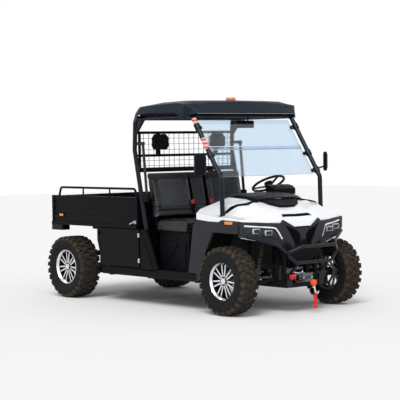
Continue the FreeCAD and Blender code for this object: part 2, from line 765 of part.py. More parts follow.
def seat_back():
    """Three upright cushions of the bench: two seats and the middle one."""
    outline = [(1310, 925), (1408, 925), (1300, 1398), (1262, 1412), (1222, 1396)]
    pieces = []
    for y0, y1 in ((-640, -112), (-100, 100), (112, 640)):
        pieces.append(side_plate(outline, y0, y1))
    return group(pieces)


def headrests():
    outline = [(320, 1690), (345, 1650), (475, 1650), (500, 1690), (500, 1772), (470, 1812), (350, 1812),
               (320, 1772)]
    pad = front_plate(outline, screen_front + seat_gap, 1222)
    return both(pad)


hood_rows = [
    # station, then Y and Z of: middle, inner crease, outer crease, shelf, edge, lip
    (2500, [(0, 1124), (200, 1132), (400, 1138), (560, 1090), (700, 985), (752, 966), (754, 926)]),
    (2560, [(0, 1108), (200, 1116), (392, 1118), (550, 1076), (690, 985), (751, 970), (753, 950)]),
    (2620, [(0, 1088), (200, 1096), (380, 1098), (540, 1060), (680, 985), (750, 966), (752, 944)]),
    (2785, [(0, 1010), (190, 1014), (330, 1008), (480, 978), (600, 956), (690, 946), (700, 932)]),
    (2880, [(0, 948), (170, 952), (262, 946), (345, 934), (395, 925), (430, 920), (434, 914)]),
    (2898, [(0, 936), (140, 938), (215, 934), (248, 926), (262, 918), (268, 912), (270, 903)]),
    (2912, [(0, 920), (120, 920), (170, 916), (200, 906), (215, 898), (222, 892), (224, 882)]),
    (2930, [(0, 866), (90, 866), (112, 865), (116, 864), (119, 863), (121, 862), (122, 854)]),
]
shelf_rows = [
    # station, then Y and Z of: inner edge, crease, shelf, edge, lip
    (2172, [(690, 1046), (705, 1040), (735, 1014), (752, 1003), (754, 943)]),
    (2350, [(470, 1156), (600, 1096), (705, 1014), (752, 985), (754, 928)]),
    (2500, [(400, 1138), (560, 1090), (700, 985), (752, 966), (754, 926)]),
]
vent_outline = [(2822, -188), (2822, 188), (2866, 212), (2866, -212)]   # X and Y of the slot in the nose


def lifted(rows, lift):
    """The rows moved up by a lift, and the lips outwards by as much."""
    return [(x, [(y + (lift if y > half[-2][0] - 1 else 0), z + lift) for y, z in half]) for x, half in rows]


def hood_shell(lift, thick):
    """The hood's skin with its rear shelves, each a shell of straight faces."""
    shelves = shell_half(lifted(shelf_rows, lift), thick)
    return [shell_from(lifted(hood_rows, lift), thick), shelves, mirrored(shelves)]


def hood():
    """White hood with its outer shelves, the pillars' holes and the slot in the nose."""
    return fuse(hood_shell(0.0, hood_skin)).cut(pillar_holes()).cut(flat_plate(vent_outline, 900, 1100))


def pillar_holes():
    holes = rod((cowl_bar_x - 3, pillar_half, 900), (cowl_bar_x - 3, pillar_half, 1200), pillar_radius + 8)
    return holes.fuse(mirrored(holes))


def clear_of_hood(shape):
    """Cuts a piece back from the hood's skin by the seating clearance."""
    for piece in hood_shell(seat_gap, hood_skin + 2 * seat_gap):
        shape = shape.cut(piece)
    return shape


def shell_from(rows, thick):
    """Shell over both halves from sections given for the left half."""
    sections = []
    for x, half in rows:
        left = [(x, y, z) for y, z in half]
        right = [(x, -y, z) for y, z in reversed(half[1:])]
        over = right + left
        under = [(px, py - math.copysign(thick, py) if abs(py) > abs(half[-2][0]) - 1 else py, pz - thick)
                 for px, py, pz in reversed(over)]
        sections.append(over + under)
    return ruled(sections)


def shell_half(rows, thick):
    sections = []
    for x, half in rows:
        over = [(x, y, z) for y, z in half]
        under = [(x, y - (thick if y > half[-2][0] - 1 else 0), z - thick) for y, z in reversed(half)]
        sections.append(over + under)
    return ruled(sections)


def above_hood(shape):
    """Cuts off whatever lies lower than the hood's outer face and its clearance."""
    depth = 400.0
    for piece in hood_shell(seat_gap, depth):
        shape = shape.cut(piece)
    return shape


def hood_trim():
    """Black cowl at the windscreen's foot with the legs and the scoop over the hood."""
    rows = [
        (2200, [(0, 1186), (200, 1184), (440, 1150), (600, 1086), (602, 1070)]),
        (2350, [(0, 1196), (200, 1192), (380, 1176), (455, 1146), (457, 1130)]),
        (2500, [(0, 1176), (200, 1172), (330, 1160), (380, 1134), (384, 1110)]),
        (2610, [(0, 1148), (180, 1146), (300, 1128), (336, 1108), (340, 1084)]),
    ]
    cowl = shell_from(rows, trim_wall)
    sections = []
    for x, y, z in leg_path:
        sections.append([(x - leg_half, y, z - 30), (x + leg_half, y, z - 30), (x + leg_half - 4, y, z + 8),
                         (x - leg_half, y, z + 12)])
    legs = [ruled([start, end]) for start, end in zip(sections, sections[1:])]
    scoop = ruled([[(2600, -300, 1070), (2600, 300, 1070), (2600, 230, 1134), (2600, -230, 1134)],
                   [(2665, -225, 1050), (2665, 225, 1050), (2665, 190, 1098), (2665, -190, 1098)],
                   [(2716, -110, 1030), (2716, 110, 1030), (2716, 92, 1068), (2716, -92, 1068)]])
    pod = side_plate([(2200, 1140), (2330, 1160), (2330, 1216), (2292, 1246), (2222, 1262), (2198, 1238)],
                     190, 500)
    shape = fuse([cowl, scoop, pod] + legs + [mirrored(leg) for leg in legs])
    return above_hood(shape).cut(pillar_holes())


leg_half = 17.0
leg_path = [   # X, Y and Z
    (2585, 330, 1112), (2606, 450, 1092), (2560, 545, 1080), (2536, 605, 1056), (2524, 668, 1008),
]


fascia_rows = [
    # Y, then X and Z down the outer face: upper edge, waist, lower edge
    (0.0, (2936, 848), (2944, 730), (2932, 505)),
    (114.0, (2936, 848), (2944, 731), (2931, 505)),
    (122.0, (2936, 866), (2944, 732), (2930, 510)),
    (250.0, (2916, 934), (2940, 750), (2928, 612)),
    (280.0, (2918, 901), (2938, 760), (2925, 634)),
    (350.0, (2906, 905), (2930, 790), (2918, 685)),
    (530.0, (2850, 918), (2893, 812), (2890, 735)),
    (722.0, (2772, 928), (2785, 850), (2787, 775)),
]


def fascia_solid(front, depth):
    """Sections of the solid behind the fascia's outer face, from `front` to `depth` behind it."""
    half = []
    for y, top, waist, low in fascia_rows:
        outer = [(x - front, y, z) for x, z in (top, waist, low)]
        inner = [(x - depth, y, z) for x, z in (low, waist, top)]
        half.append(outer + inner)
    return half


def lofted_both(half):
    left = ruled(half)
    return fuse([left, mirrored(left)])


# Y and Z of the openings in the front panel
lamp_outline = [(686, 903), (352, 874), (262, 728), (286, 738), (460, 766), (620, 792), (684, 812)]
mesh_outline = [(236, 884), (126, 842), (84, 828), (40, 780), (32, 700), (48, 674), (108, 674)]


def drawn_in(outline, gap, x0, x1):
    """Front plate whose outline is drawn in by a gap on every side."""
    face = Part.Face(wire([(x0, y, z) for y, z in outline]))
    return face.makeOffset2D(-gap, 2).extrude(vec(x1 - x0, 0, 0))


def front_fascia():
    """Moulded front panel with openings for the lamps and the two grille meshes."""
    shape = lofted_both(fascia_solid(0.0, fascia_depth))
    for outline in (lamp_outline, mesh_outline):
        cutter = front_plate(outline, 2700, 3000)
        shape = shape.cut(cutter).cut(mirrored(cutter))
    return clear_of_hood(shape)


def headlamps():
    """Lamp units seated in the fascia's openings, one each side."""
    slab = ruled(fascia_solid(5.0, 60.0))
    unit = slab.common(drawn_in(lamp_outline, seat_gap, 2700, 3000))
    return both(clear_of_hood(unit))


def honeycomb(outline, x0, x1):
    """Hexagonal plugs on a honeycomb grid, those that lie wholly inside an outline."""
    field = drawn_in(outline, mesh_hole * 0.75, x0, x1)
    low_y = min(y for y, z in outline)
    low_z = min(z for y, z in outline)
    row_step = mesh_pitch * math.sin(math.radians(60))
    corner = mesh_hole / math.sqrt(3)
    plugs = []
    for row in range(16):
        for column in range(12):
            y = low_y + (column + 0.5 * (row % 2)) * mesh_pitch
            z = low_z + row * row_step
            if field.isInside(vec((x0 + x1) / 2.0, y, z), 0.1, True):
                turns = [math.radians(60 * k) for k in range(6)]
                ring = [(y + corner * math.sin(turn), z + corner * math.cos(turn)) for turn in turns]
                plugs.append(front_plate(ring, x0, x1))
    return group(plugs)


def grille():
    """Honeycomb panels behind the fascia's two tall openings."""
    slab = ruled(fascia_solid(12.0, 20.0))
    panel = slab.common(drawn_in(mesh_outline, seat_gap, 2700, 3000))
    return both(panel.cut(honeycomb(mesh_outline, 2800, 3000)))


def fenders():
    """Front side panels, the band over the wheels and the inner arch liners."""
    outer = body_half - 4
    outline = [(2030, 300), (2030, 402), (2112, 880), (2178, 938), (2350, 923), (2486, 921), (2560, 944),
               (2670, 936), (2770, 926), (2770, 812), (2410, 818), (2310, 635), (2198, 345), (2160, 300)]
    panel = side_plate(outline, outer - 24, outer)
    liner = side_plate([(2165, 345), (2198, 345), (2310, 635), (2410, 812), (2736, 806), (2736, 818),
                        (2402, 824), (2290, 640)], 440, outer - 24)
    shape = fuse([panel, liner])
    shape = shape.cut(box(2000, 2151, 500, 800, 280, 388))
    return both(clear_of_hood(shape))


def amber_lamps():
    """Beacon on the roof and the side markers on the fenders."""
    seat = beacon_foot + seat_gap
    beacon = turned_z([(0, seat), (54, seat), (54, seat + 9), (46, seat + 30), (0, seat + 34)], beacon_x, 0)
    marker = box(2598, 2712, body_half - 4 + seat_gap, body_half + 4, 902, 932)
    return group([beacon, marker, mirrored(marker)])


beacon_x = 1880.0
beacon_foot = 2156.0


def turned_z(profile, x, y):
    outline = wire([(x + r, y, z) for r, z in profile])
    return Part.Face(outline).revolve(vec(x, y, 0), vec(0, 0, 1), 360)


def dash():
    """Dashboard under the cowl with the steering column's bearing."""
    outline = [(2250, 905), (2322, 905), (2322, 960), (dash_front, 960), (dash_front, 1100), (2230, 1100),
               (2200, 1060)]
    panel = side_plate(outline, -600, 600)
    face = [(-600, 900), (600, 900), (600, 1010), (400, 1100), (-400, 1100), (-600, 1010)]
    panel = panel.common(front_plate(face, 2190, dash_front + 8))
    boss = column_frame(Part.makeCylinder(column_radius + 15, 90, vec(0, 0, -column_length - 30)))
    bore = column_frame(Part.makeCylinder(column_radius + running_gap, 92, vec(0, 0, -column_length - 2)))
    return fuse([panel, boss]).cut(bore)


# Cage, roof and glass

def hoop_tube(radius):
    """Side hoop of the cage: front pillar, roof rail, rear pillar down to the floor."""
    y = pillar_half
    return tube([(cowl_bar_x, y, cowl_bar_z + cowl_bar_radius + seat_gap), (knee_x, y, knee_z),
                 (roof_corner_x, y, cage_top), (1130, y, cage_top),
                 (1113, y, 1640), (1290, y, 815), (1290, y, floor_level - 4.7)], radius, 60.0)


def cage_side():
    """Side hoop with its corner brace and gusset, the clamps, the roof's brackets and the screen's tabs."""
    y = pillar_half
    brace = rod((1122, y, 1800), (1290, y, cage_top), brace_radius)
    gusset = side_plate([(1122, 1800), (1290, cage_top), (1140, cage_top)], y - 4, y + 4)
    tabs = [box(1118, screen_front - 20 - seat_gap, y - 37, y, z - 12, z + 12) for z in screen_bars[:2]]
    return fuse([hoop_tube(pillar_radius), brace, gusset] + tabs + clamps() + roof_brackets())


def glass_frame(shape):
    """Moves a shape from the glass's own axes, up the slope and out of it, to its place."""
    lean = math.degrees(math.atan2(cage_top - knee_z, knee_x - roof_corner_x))
    shape.rotate(vec(0, 0, 0), vec(0, 1, 0), -(180 - lean))
    shape.translate(vec(knee_x, 0, knee_z))
    return shape


def clamps():
    """Clamps on the leaning pillar, each with the tab that holds a pane."""
    pieces = []
    for up_slope, stand_off in ((84.0, glass_stand_off), (300.0, glass_stand_off),
                                (640.0, glass_stand_off + glass_thick + seat_gap)):
        collar = Part.makeCylinder(pillar_radius + 8, 56, vec(up_slope - 28, pillar_half, 0), vec(1, 0, 0))
        tab = box(up_slope - 16, up_slope + 16, pillar_half - 60, pillar_half, 0, stand_off - seat_gap)
        pieces.append(glass_frame(collar))
        pieces.append(glass_frame(tab))
    return pieces


def roll_cage():
    """Roll cage of bent tube: two side hoops and the cross bars coped to fit between them."""
    side = cage_side()
    bar_x = screen_front - 20 - seat_gap - 16
    runs = [(1178.0, cage_top - 6, 20.0), (roof_corner_x - 10, cage_top, 20.0), (bar_x, 1440.0, 16.0)]
    cope = hoop_tube(pillar_radius + seat_gap)
    bars = [rod((x, -pillar_half, z), (x, pillar_half, z), radius).cut(cope).cut(mirrored(cope))
            for x, z, radius in runs]
    inner = [bar.common(box(1000, 2200, -pillar_half + 4, pillar_half - 4, 1300, 2100)) for bar in bars]
    return group([side, mirrored(side)] + inner)


def rear_screen():
    """Framed wire grid behind the seats, with its three bars."""
    x0, x1 = screen_front - 20.0, screen_front
    half = pillar_half - pillar_radius - seat_gap
    bars = [box(x0, x1, -half, half, z - 14, z + 14) for z in screen_bars]
    sides = [box(x0, x1, min(side * half, side * (half - 24)), max(side * half, side * (half - 24)),
                 screen_bars[2] - 14, screen_bars[0] + 14) for side in (-1, 1)]
    bars += [box(x1 - 10, x1, y - 30, y + 30, screen_bars[1], screen_bars[0]) for y in (-410, 410)]
    grids = [wire_grid(x0 + 4, half, screen_bars[1], screen_bars[0], 4),
             wire_grid(x0 + 4, half, screen_bars[2], screen_bars[1], 3)]
    return fuse(bars + sides + grids)


def wire_grid(x, half, z0, z1, rows):
    """Square wire grid between two bars, as one plate with its holes."""
    step_y = 2 * half / screen_columns
    step_z = (z1 - z0) / rows
    rim_wire = wire([(x, -half, z0), (x, half, z0), (x, half, z1), (x, -half, z1)])
    holes = []
    for column in range(screen_columns):
        for row in range(rows):
            y = -half + column * step_y + screen_wire / 2.0
            z = z0 + row * step_z + screen_wire / 2.0
            far_y = y + step_y - screen_wire
            far_z = z + step_z - screen_wire
            holes.append(wire([(x, y, z), (x, far_y, z), (x, far_y, far_z), (x, y, far_z)]))
    return Part.makeFace([rim_wire] + holes, "Part::FaceMakerBullseye").extrude(vec(screen_wire, 0, 0))


roof_rows = [
    # station, then Y and Z of: middle, crown, shoulder, edge, lip
    (1176, [(0, 2034), (400, 2032), (600, 2029), (735, 2024), (762, 1945)]),
    (1205, [(0, 2092), (400, 2089), (600, 2078), (738, 2052), (774, 1945)]),
    (1250, [(0, 2122), (400, 2119), (610, 2110), (742, 2088), (782, 1956)]),
    (1278, [(0, 2132), (400, 2129), (610, 2121), (743, 2100), (786, 2022)]),
    (1500, [(0, 2150), (400, 2147), (610, 2142), (746, 2112), (788, 2034)]),
    (1880, [(0, 2156), (400, 2153), (610, 2150), (752, 2124), (790, 2026)]),
    (1975, [(0, 2154), (400, 2151), (610, 2146), (768, 2116), (800, 1992)]),
    (2038, [(0, 2141), (300, 2135), (600, 2121), (785, 2104), (803, 1978)]),
    (2130, [(0, 2022), (300, 2022), (600, 2022), (690, 2021), (702, 2016)]),
]


def roof():
    """Moulded roof with drooping sides, front wings and a visor."""
    return shell_from(roof_rows, roof_skin)


def roof_brackets():
    """Upright brackets from the side tubes to the roof's inner face."""
    carved = shell_from(roof_rows, roof_skin + seat_gap)
    pieces = []
    for x, half in roof_rows[3:6]:
        (y0, z0), (y1, z1) = half[2:4]
        height = z0 + (z1 - z0) * (pillar_half - y0) / (y1 - y0) - roof_skin / 2.0
        pieces.append(box(x, x + 44, pillar_half - 4, pillar_half + 4, cage_top, height).cut(carved))
    return pieces


def windshield():
    """Two clear panes that overlap at a level seam, in front of the pillars."""
    panes = []
    for start, end, lift in ((52.0, 412.0, 0.0), (382.0, 748.0, glass_thick + seat_gap)):
        stand = glass_stand_off + lift
        panes.append(glass_frame(box(start, end, -glass_half, glass_half, stand, stand + glass_thick)))
    return group(panes)


def mirrors():
    """Door-height mirrors on stalks from the clamps of the front pillars."""
    housing = ruled([[(-24, -52, -104), (0, -46, -104), (0, 46, -104), (-24, 52, -104)],
                     [(-30, -62, -70), (10, -50, -70), (10, 50, -70), (-30, 62, -70)],
                     [(-30, -62, 70), (10, -50, 70), (10, 50, 70), (-30, 62, 70)],
                     [(-24, -52, 100), (0, -46, 100), (0, 46, 100), (-24, 52, 100)]])
    housing.rotate(vec(0, 0, 0), vec(0, 0, 1), 40)
    housing.translate(vec(2407, 896, 1500))
    stalk = rod((2446, pillar_half, 1420), (2408, 880, 1450), 9.0)
    collar = glass_frame(Part.makeCylinder(pillar_radius + 8 + seat_gap, 120,
                                           vec(20, pillar_half, 0), vec(1, 0, 0)))
    return both(fuse([housing, stalk]).cut(collar))


def bull_bar():
    """Bent tube hoop with its wing ends and the two legs to the frame."""
    front = front_axle + front_reach - bar_radius
    hoop = tube([(front, 0, 675), (front, 235, 675), (front - 95, 361, 608), (front - 68, 247, 512),
                 (front - 68, 0, 512)], bar_radius, 30.0)
    wing = tube([(front - 89, 352, 612), (front - 170, 408, 690), (front - 313, 658, 782)], 15.0, 40.0)
    tip = ball((front - 313, 658, 782), 15.0)
    foot = box(rail_front + seat_gap, rail_front + 12, rail_half - 40, rail_half + 30, 262, 400)
    stay = rod((2966, 215, 390), (front - 72, 215, 512), 14.0)
    return joined_both([hoop, wing, tip, foot, stay])


def winch():
    """Winch drum between its end housings, with the fairlead in front."""
    low = rail_bottom + rail_size + seat_gap
    plate = box(2870, 2990, -150, 150, low, low + 8)
    drum = rod((2915, -75, 350), (2915, 75, 350), 24.0)
    ends = [rod((2915, side * 75, 350), (2915, side * 145, 350), 40.0) for side in (-1, 1)]
    fairlead = box(2986, 2998, -70, 70, low, 392)
    window = box(2980, 3000, -34, 34, 334, 362)
    return fuse([plate, drum, fairlead] + ends).cut(window)


def winch_hook():
    """Rope stopper ball, hook and pull strap at the fairlead."""
    rope = rod((2915 + 24 + seat_gap, 0, 348), (3075, 0, 332), 4.0)
    stopper = ball((3080, 0, 300), 34.0)
    hook = tube([(3084, 0, 276), (3100, 0, 214), (3130, 0, 188), (3148, 0, 222)], 8.0, 12.0)
    strap = box(3100, 3110, -19, 19, 42, 208)
    return fuse([rope, stopper, hook, strap])


def seat_belts():
    """Belt webbing ahead of the rear pillars, between its anchor and its reel, with the buckles."""
    y = pillar_half
    near, far = y - 1.5, y + 1.5
    strap = ruled([[(1232, near, 1712), (1276, near, 1712), (1276, far, 1712), (1232, far, 1712)],
                   [(1288, near, 1140), (1332, near, 1140), (1332, far, 1140), (1288, far, 1140)]])
    anchor = box(1118, 1280, y - 6, y + 6, 1696, 1732)
    anchor = anchor.cut(rod((1113, y, 1640), (1130, y, cage_top), pillar_radius + seat_gap))
    reel = box(1225, 1340, y - 17, y + 17, 1096, 1182).cut(pillar_foot(seat_gap))
    buckle = box(1440, 1466, 101, 111, 906.5, 960)
    return both(group([fuse([strap, anchor, reel]), buckle]))


def build():
    nodes = {}
    for name, axle_x, rim_width, tyre_width, side in (
            ("fl", front_axle, front_rim_width, front_tyre_width, 1),
            ("fr", front_axle, front_rim_width, front_tyre_width, -1),
            ("rl", 0.0, rear_rim_width, rear_tyre_width, 1),
            ("rr", 0.0, rear_rim_width, rear_tyre_width, -1)):
        nodes["tyre_" + name] = placed_wheel(tyre(tyre_width, rim_width), axle_x, rim_width, side)
        nodes["rim_" + name] = placed_wheel(rim(rim_width), axle_x, rim_width, side)
    nodes["knuckle_l"] = knuckle(1)
    nodes["knuckle_r"] = knuckle(-1)
    nodes["steering_rack"] = steering_rack()
    nodes["steering_wheel"] = steering_wheel()
    nodes["suspension_arms"] = suspension_arms()
    nodes["shock_absorbers"] = shock_absorbers()
    nodes["drive_units"] = drive_units()
    nodes["main_frame"] = main_frame()
    nodes["cargo_bed"] = cargo_bed()
    nodes["tailgate"] = tailgate()
    nodes["tail_lamps"] = tail_lamps()
    nodes["storage_boxes"] = storage_boxes()
    nodes["storage_door_l"] = storage_door(1)
    nodes["storage_door_r"] = storage_door(-1)
    for maker in (body_sides, floor_pan, seat_base, seat_cushion, seat_back, headrests, hood, hood_trim,
                  front_fascia, headlamps, grille, fenders, amber_lamps, dash, roll_cage, rear_screen, roof,
                  windshield, mirrors, bull_bar, winch, winch_hook, seat_belts):
        nodes[maker.__name__] = maker()
    return nodes


os.makedirs("parts", exist_ok=True)
for node_name, node_shape in build().items():
    node_shape.translate(vec(-origin_x, 0, 0))
    node_shape.exportStep("parts/" + node_name + ".step")
    litres = round(node_shape.Volume / 1e6, 2)
    print(node_name, len(node_shape.Solids), node_shape.isValid(), litres, "litres")
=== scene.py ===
# Side by side utility vehicle: finishes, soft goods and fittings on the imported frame.
import json
import math
import bpy
from mathutils import Matrix, Vector
from mathutils.bvhtree import BVHTree

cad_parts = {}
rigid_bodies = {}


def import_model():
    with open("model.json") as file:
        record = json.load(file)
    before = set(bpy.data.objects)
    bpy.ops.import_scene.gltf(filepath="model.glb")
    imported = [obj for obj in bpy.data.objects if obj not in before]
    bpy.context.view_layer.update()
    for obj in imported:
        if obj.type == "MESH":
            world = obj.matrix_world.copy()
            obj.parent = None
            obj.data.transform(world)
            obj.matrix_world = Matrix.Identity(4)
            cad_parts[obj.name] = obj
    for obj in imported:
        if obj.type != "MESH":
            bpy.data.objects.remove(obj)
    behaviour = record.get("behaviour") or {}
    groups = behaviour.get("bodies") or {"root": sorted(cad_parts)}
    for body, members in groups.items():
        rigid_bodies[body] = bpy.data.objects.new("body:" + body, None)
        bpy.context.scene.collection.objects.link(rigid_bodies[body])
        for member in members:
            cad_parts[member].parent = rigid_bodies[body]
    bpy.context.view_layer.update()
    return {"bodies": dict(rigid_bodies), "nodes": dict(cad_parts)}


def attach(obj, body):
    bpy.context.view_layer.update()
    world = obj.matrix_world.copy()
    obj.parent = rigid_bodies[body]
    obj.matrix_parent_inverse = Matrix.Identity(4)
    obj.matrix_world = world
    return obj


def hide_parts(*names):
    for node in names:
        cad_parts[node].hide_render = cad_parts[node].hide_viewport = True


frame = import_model()
nodes = frame["nodes"]
scene = bpy.context.scene
originStation = 1400.0   # the frame's origin, in mm ahead of the rear axle
sides = {"l": 1, "r": -1}
print("frame loaded:", len(nodes), "nodes")


def place(x, y, z):
    # X from the rear axle, Y to the left, Z up from the ground, in mm
    return Vector(((x - originStation) / 1000.0, y / 1000.0, z / 1000.0))


camera = {
    "place": (11.8056, -10.2389, 1.7132),
    "turn": 2.4288,        # heading, radians from +X
    "tilt": -0.0397,
    "roll": -0.0143,
    "focal": 1439.76,      # in pixels of the 400 pixel frame
    "frame": 400.0,
    "sensor": 36.0,
}


def addCamera():
    look = Vector((math.cos(camera["tilt"]) * math.cos(camera["turn"]),
                   math.cos(camera["tilt"]) * math.sin(camera["turn"]),
                   math.sin(camera["tilt"])))
    side = look.cross(Vector((0, 0, 1))).normalized()
    over = side.cross(look)
    right = side * math.cos(camera["roll"]) + over * math.sin(camera["roll"])
    up = over * math.cos(camera["roll"]) - side * math.sin(camera["roll"])
    lens = bpy.data.cameras.new("photoCamera")
    lens.sensor_width = camera["sensor"]
    lens.sensor_fit = "HORIZONTAL"
    lens.lens = camera["focal"] * camera["sensor"] / camera["frame"]
    lens.clip_end = 200.0
    holder = bpy.data.objects.new("photoCamera", lens)
    scene.collection.objects.link(holder)
    turn = Matrix((right, up, -look)).transposed().to_4x4()
    holder.matrix_world = Matrix.Translation(Vector(camera["place"])) @ turn
    scene.camera = holder


addCamera()
print("camera placed")


# Modelling steps that every piece uses

def deselectAll():
    if bpy.context.object and bpy.context.object.mode != "OBJECT":
        bpy.ops.object.mode_set(mode="OBJECT")
    bpy.ops.object.select_all(action="DESELECT")


def activate(piece):
    deselectAll()
    piece.hide_set(False)
    piece.select_set(True)
    bpy.context.view_layer.objects.active = piece


def editAll(piece, mode="FACE"):
    activate(piece)
    bpy.ops.object.mode_set(mode="EDIT")
    bpy.ops.mesh.select_mode(type=mode)
    bpy.ops.mesh.select_all(action="SELECT")


def pickFaces(piece, test):
    # leaves the piece in edit mode with the faces selected whose centre and normal pass the test
    editAll(piece)
    bpy.ops.mesh.select_all(action="DESELECT")
    bpy.ops.object.mode_set(mode="OBJECT")
    for face in piece.data.polygons:
        face.select = bool(test(face.center, face.normal))
    bpy.ops.object.mode_set(mode="EDIT")


def objectMode():
    bpy.ops.object.mode_set(mode="OBJECT")


def modify(piece, kind, **settings):
    activate(piece)
    modifier = piece.modifiers.new(kind, kind)
    for name, value in settings.items():
        setattr(modifier, name, value)
    bpy.ops.object.modifier_apply(modifier=modifier.name)


def bakePlace(piece):
    activate(piece)
    bpy.ops.object.transform_apply(location=True, rotation=True, scale=True)


def joined(name, pieces):
    deselectAll()
    for piece in pieces:
        piece.select_set(True)
    bpy.context.view_layer.objects.active = pieces[0]
    if len(pieces) > 1:
        bpy.ops.object.join()
    piece = bpy.context.object
    piece.name = name
    return piece


def finish(piece, name, body, angle=32):
    activate(piece)
    piece.name = name
    piece.data.name = name
    bpy.ops.object.shade_smooth_by_angle(angle=math.radians(angle))
    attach(piece, body)
    return piece


def copied(master, matrices):
    pieces = []
    for matrix in matrices:
        piece = master.copy()
        piece.data = master.data.copy()
        piece.data.transform(matrix)
        if matrix.to_3x3().determinant() < 0:
            piece.data.flip_normals()
        scene.collection.objects.link(piece)
        pieces.append(piece)
    return pieces


def drop(piece):
    bpy.data.objects.remove(piece, do_unlink=True)


mirrorY = Matrix.Scale(-1, 4, Vector((0, 1, 0)))


def painted(piece, look):
    piece.data.materials.append(finishes[look])
    return piece


def recess(piece, test, width, move=None, depth=0.0):
    # insets the faces that pass the test, and moves them on if a way is given, in m
    pickFaces(piece, test)
    bpy.ops.mesh.inset(thickness=width, depth=depth)
    if move:
        bpy.ops.mesh.extrude_region_move(TRANSFORM_OT_translate={"value": move})
    objectMode()


def assemble(name, parts, body):
    return finish(joined(name, parts), name, body)


def finishPair(left, name, body):
    # the left piece and its twin on the other side
    right = copied(left, [mirrorY])[0]
    finish(left, name + "_l", body)
    finish(right, name + "_r", body)


def turnTo(axis):
    return Vector((0, 0, 1)).rotation_difference(Vector(axis)).to_matrix().to_4x4()


def addBlock(centre, size, bevel=0.0, segments=2):
    # a block with rounded edges; centre in stations, size and bevel in mm
    deselectAll()
    bpy.ops.mesh.primitive_cube_add(size=1.0, location=place(*centre))
    block = bpy.context.object
    block.scale = [value / 1000.0 for value in size]
    bakePlace(block)
    if bevel:
        modify(block, "BEVEL", width=bevel / 1000.0, segments=segments, limit_method="ANGLE")
    return block


def addRound(centre, axis, profile, sides=24):
    # a turned piece: the profile is (distance along the axis, radius) in mm, from base to tip
    deselectAll()
    first = profile[0]
    bpy.ops.mesh.primitive_circle_add(vertices=sides, radius=first[1] / 1000.0, fill_type="NGON")
    piece = bpy.context.object
    editAll(piece)
    bpy.ops.mesh.flip_normals()
    last = first
    for reach, radius in profile[1:]:
        bpy.ops.mesh.extrude_region_move(TRANSFORM_OT_translate={"value": (0, 0, (reach - last[0]) / 1000.0)})
        grow = radius / last[1]
        bpy.ops.transform.resize(value=(grow, grow, 1), center_override=(0, 0, 0))
        last = (reach, radius)
    bpy.ops.mesh.select_all(action="SELECT")
    bpy.ops.mesh.normals_make_consistent(inside=False)
    objectMode()
    piece.data.transform(Matrix.Translation((0, 0, first[0] / 1000.0)))
    piece.data.transform(Matrix.Translation(place(*centre)) @ turnTo(axis))
    return piece


def addTube(points, radius, sides=12, smooth=3):
    # a round tube through stations, its corners rounded by subdivision of the path
    path = [place(*point) for point in points]
    for step in range(smooth):
        rounded = [path[0]]
        for index, (start, end) in enumerate(zip(path, path[1:])):
            if index:
                rounded.append(start.lerp(end, 0.25))
            if index < len(path) - 2:
                rounded.append(start.lerp(end, 0.75))
        path = rounded + [path[-1]]
    deselectAll()
    bpy.ops.curve.primitive_bezier_curve_add()
    holder = bpy.context.object
    curve = holder.data
    curve.splines.clear()
    curve.dimensions = "3D"
    spline = curve.splines.new("POLY")
    spline.points.add(len(path) - 1)
    for point, spot in zip(spline.points, path):
        point.co = (*spot, 1.0)
    curve.bevel_depth = radius / 1000.0
    curve.bevel_resolution = max(1, sides // 4)
    curve.use_fill_caps = True
    bpy.ops.object.convert(target="MESH")
    return bpy.context.object


shell = {
    "join": 0.00002,     # corners closer than this are one, m
    "flat": 0.6,         # faces that differ less than this are one, degrees
    "edge": 38.0,        # sharper edges are rounded, degrees
}


def shellOf(nodeName, bevel=0.0, segments=2):
    # a merged copy of a CAD node, with the triangles of flat faces dissolved and the edges rounded
    source = nodes[nodeName]
    piece = source.copy()
    piece.data = source.data.copy()
    piece.parent = None
    piece.matrix_world = Matrix.Identity(4)
    scene.collection.objects.link(piece)
    piece.data.materials.clear()
    activate(piece)
    if piece.data.has_custom_normals:
        bpy.ops.mesh.customdata_custom_splitnormals_clear()
    editAll(piece, "VERT")
    bpy.ops.mesh.remove_doubles(threshold=shell["join"])
    bpy.ops.mesh.dissolve_limited(angle_limit=math.radians(shell["flat"]))
    objectMode()
    if bevel:
        modify(piece, "BEVEL", width=bevel / 1000.0, segments=segments, limit_method="ANGLE",
               angle_limit=math.radians(shell["edge"]), use_clamp_overlap=True, harden_normals=False)
    return piece


def dress(nodeName, look, bevel=0.0, segments=2):
    piece = shellOf(nodeName, bevel, segments)
    painted(piece, look)
    finish(piece, nodeName + "_skin", bodyOf(nodeName))
    modify(piece, "WEIGHTED_NORMAL", keep_sharp=True)
    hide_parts(nodeName)
    return piece


def bodyOf(nodeName):
    for body, empty in frame["bodies"].items():
        if nodes[nodeName].parent == empty:
            return body
    return "chassis"


def paintFaces(piece, look, test):
    # gives the faces that pass the test their own finish
    painted(piece, look)
    index = len(piece.data.materials) - 1
    for face in piece.data.polygons:
        if test(face.center, face.normal):
            face.material_index = index


def faceCaster(nodeName):
    source = nodes[nodeName].data
    return BVHTree.FromPolygons([vertex.co.copy() for vertex in source.vertices],
                                [tuple(face.vertices) for face in source.polygons])


studio = {
    "floorSize": 60.0,
    "floorTone": (0.92, 0.92, 0.91),
    "skyLight": 0.52,
    "keyPower": 1.75,
    "keyAim": (-0.45, 0.62, -0.95),
    "keySpread": 28.0,
    "fillPower": 0.4,
    "fillAim": (-0.75, 0.35, -0.45),
    "fillSpread": 60.0,
}


def addSun(name, power, aim, spread):
    lamp = bpy.data.lights.new(name, "SUN")
    lamp.energy = power
    lamp.angle = math.radians(spread)
    holder = bpy.data.objects.new(name, lamp)
    scene.collection.objects.link(holder)
    holder.rotation_euler = Vector(aim).to_track_quat("-Z", "Y").to_euler()


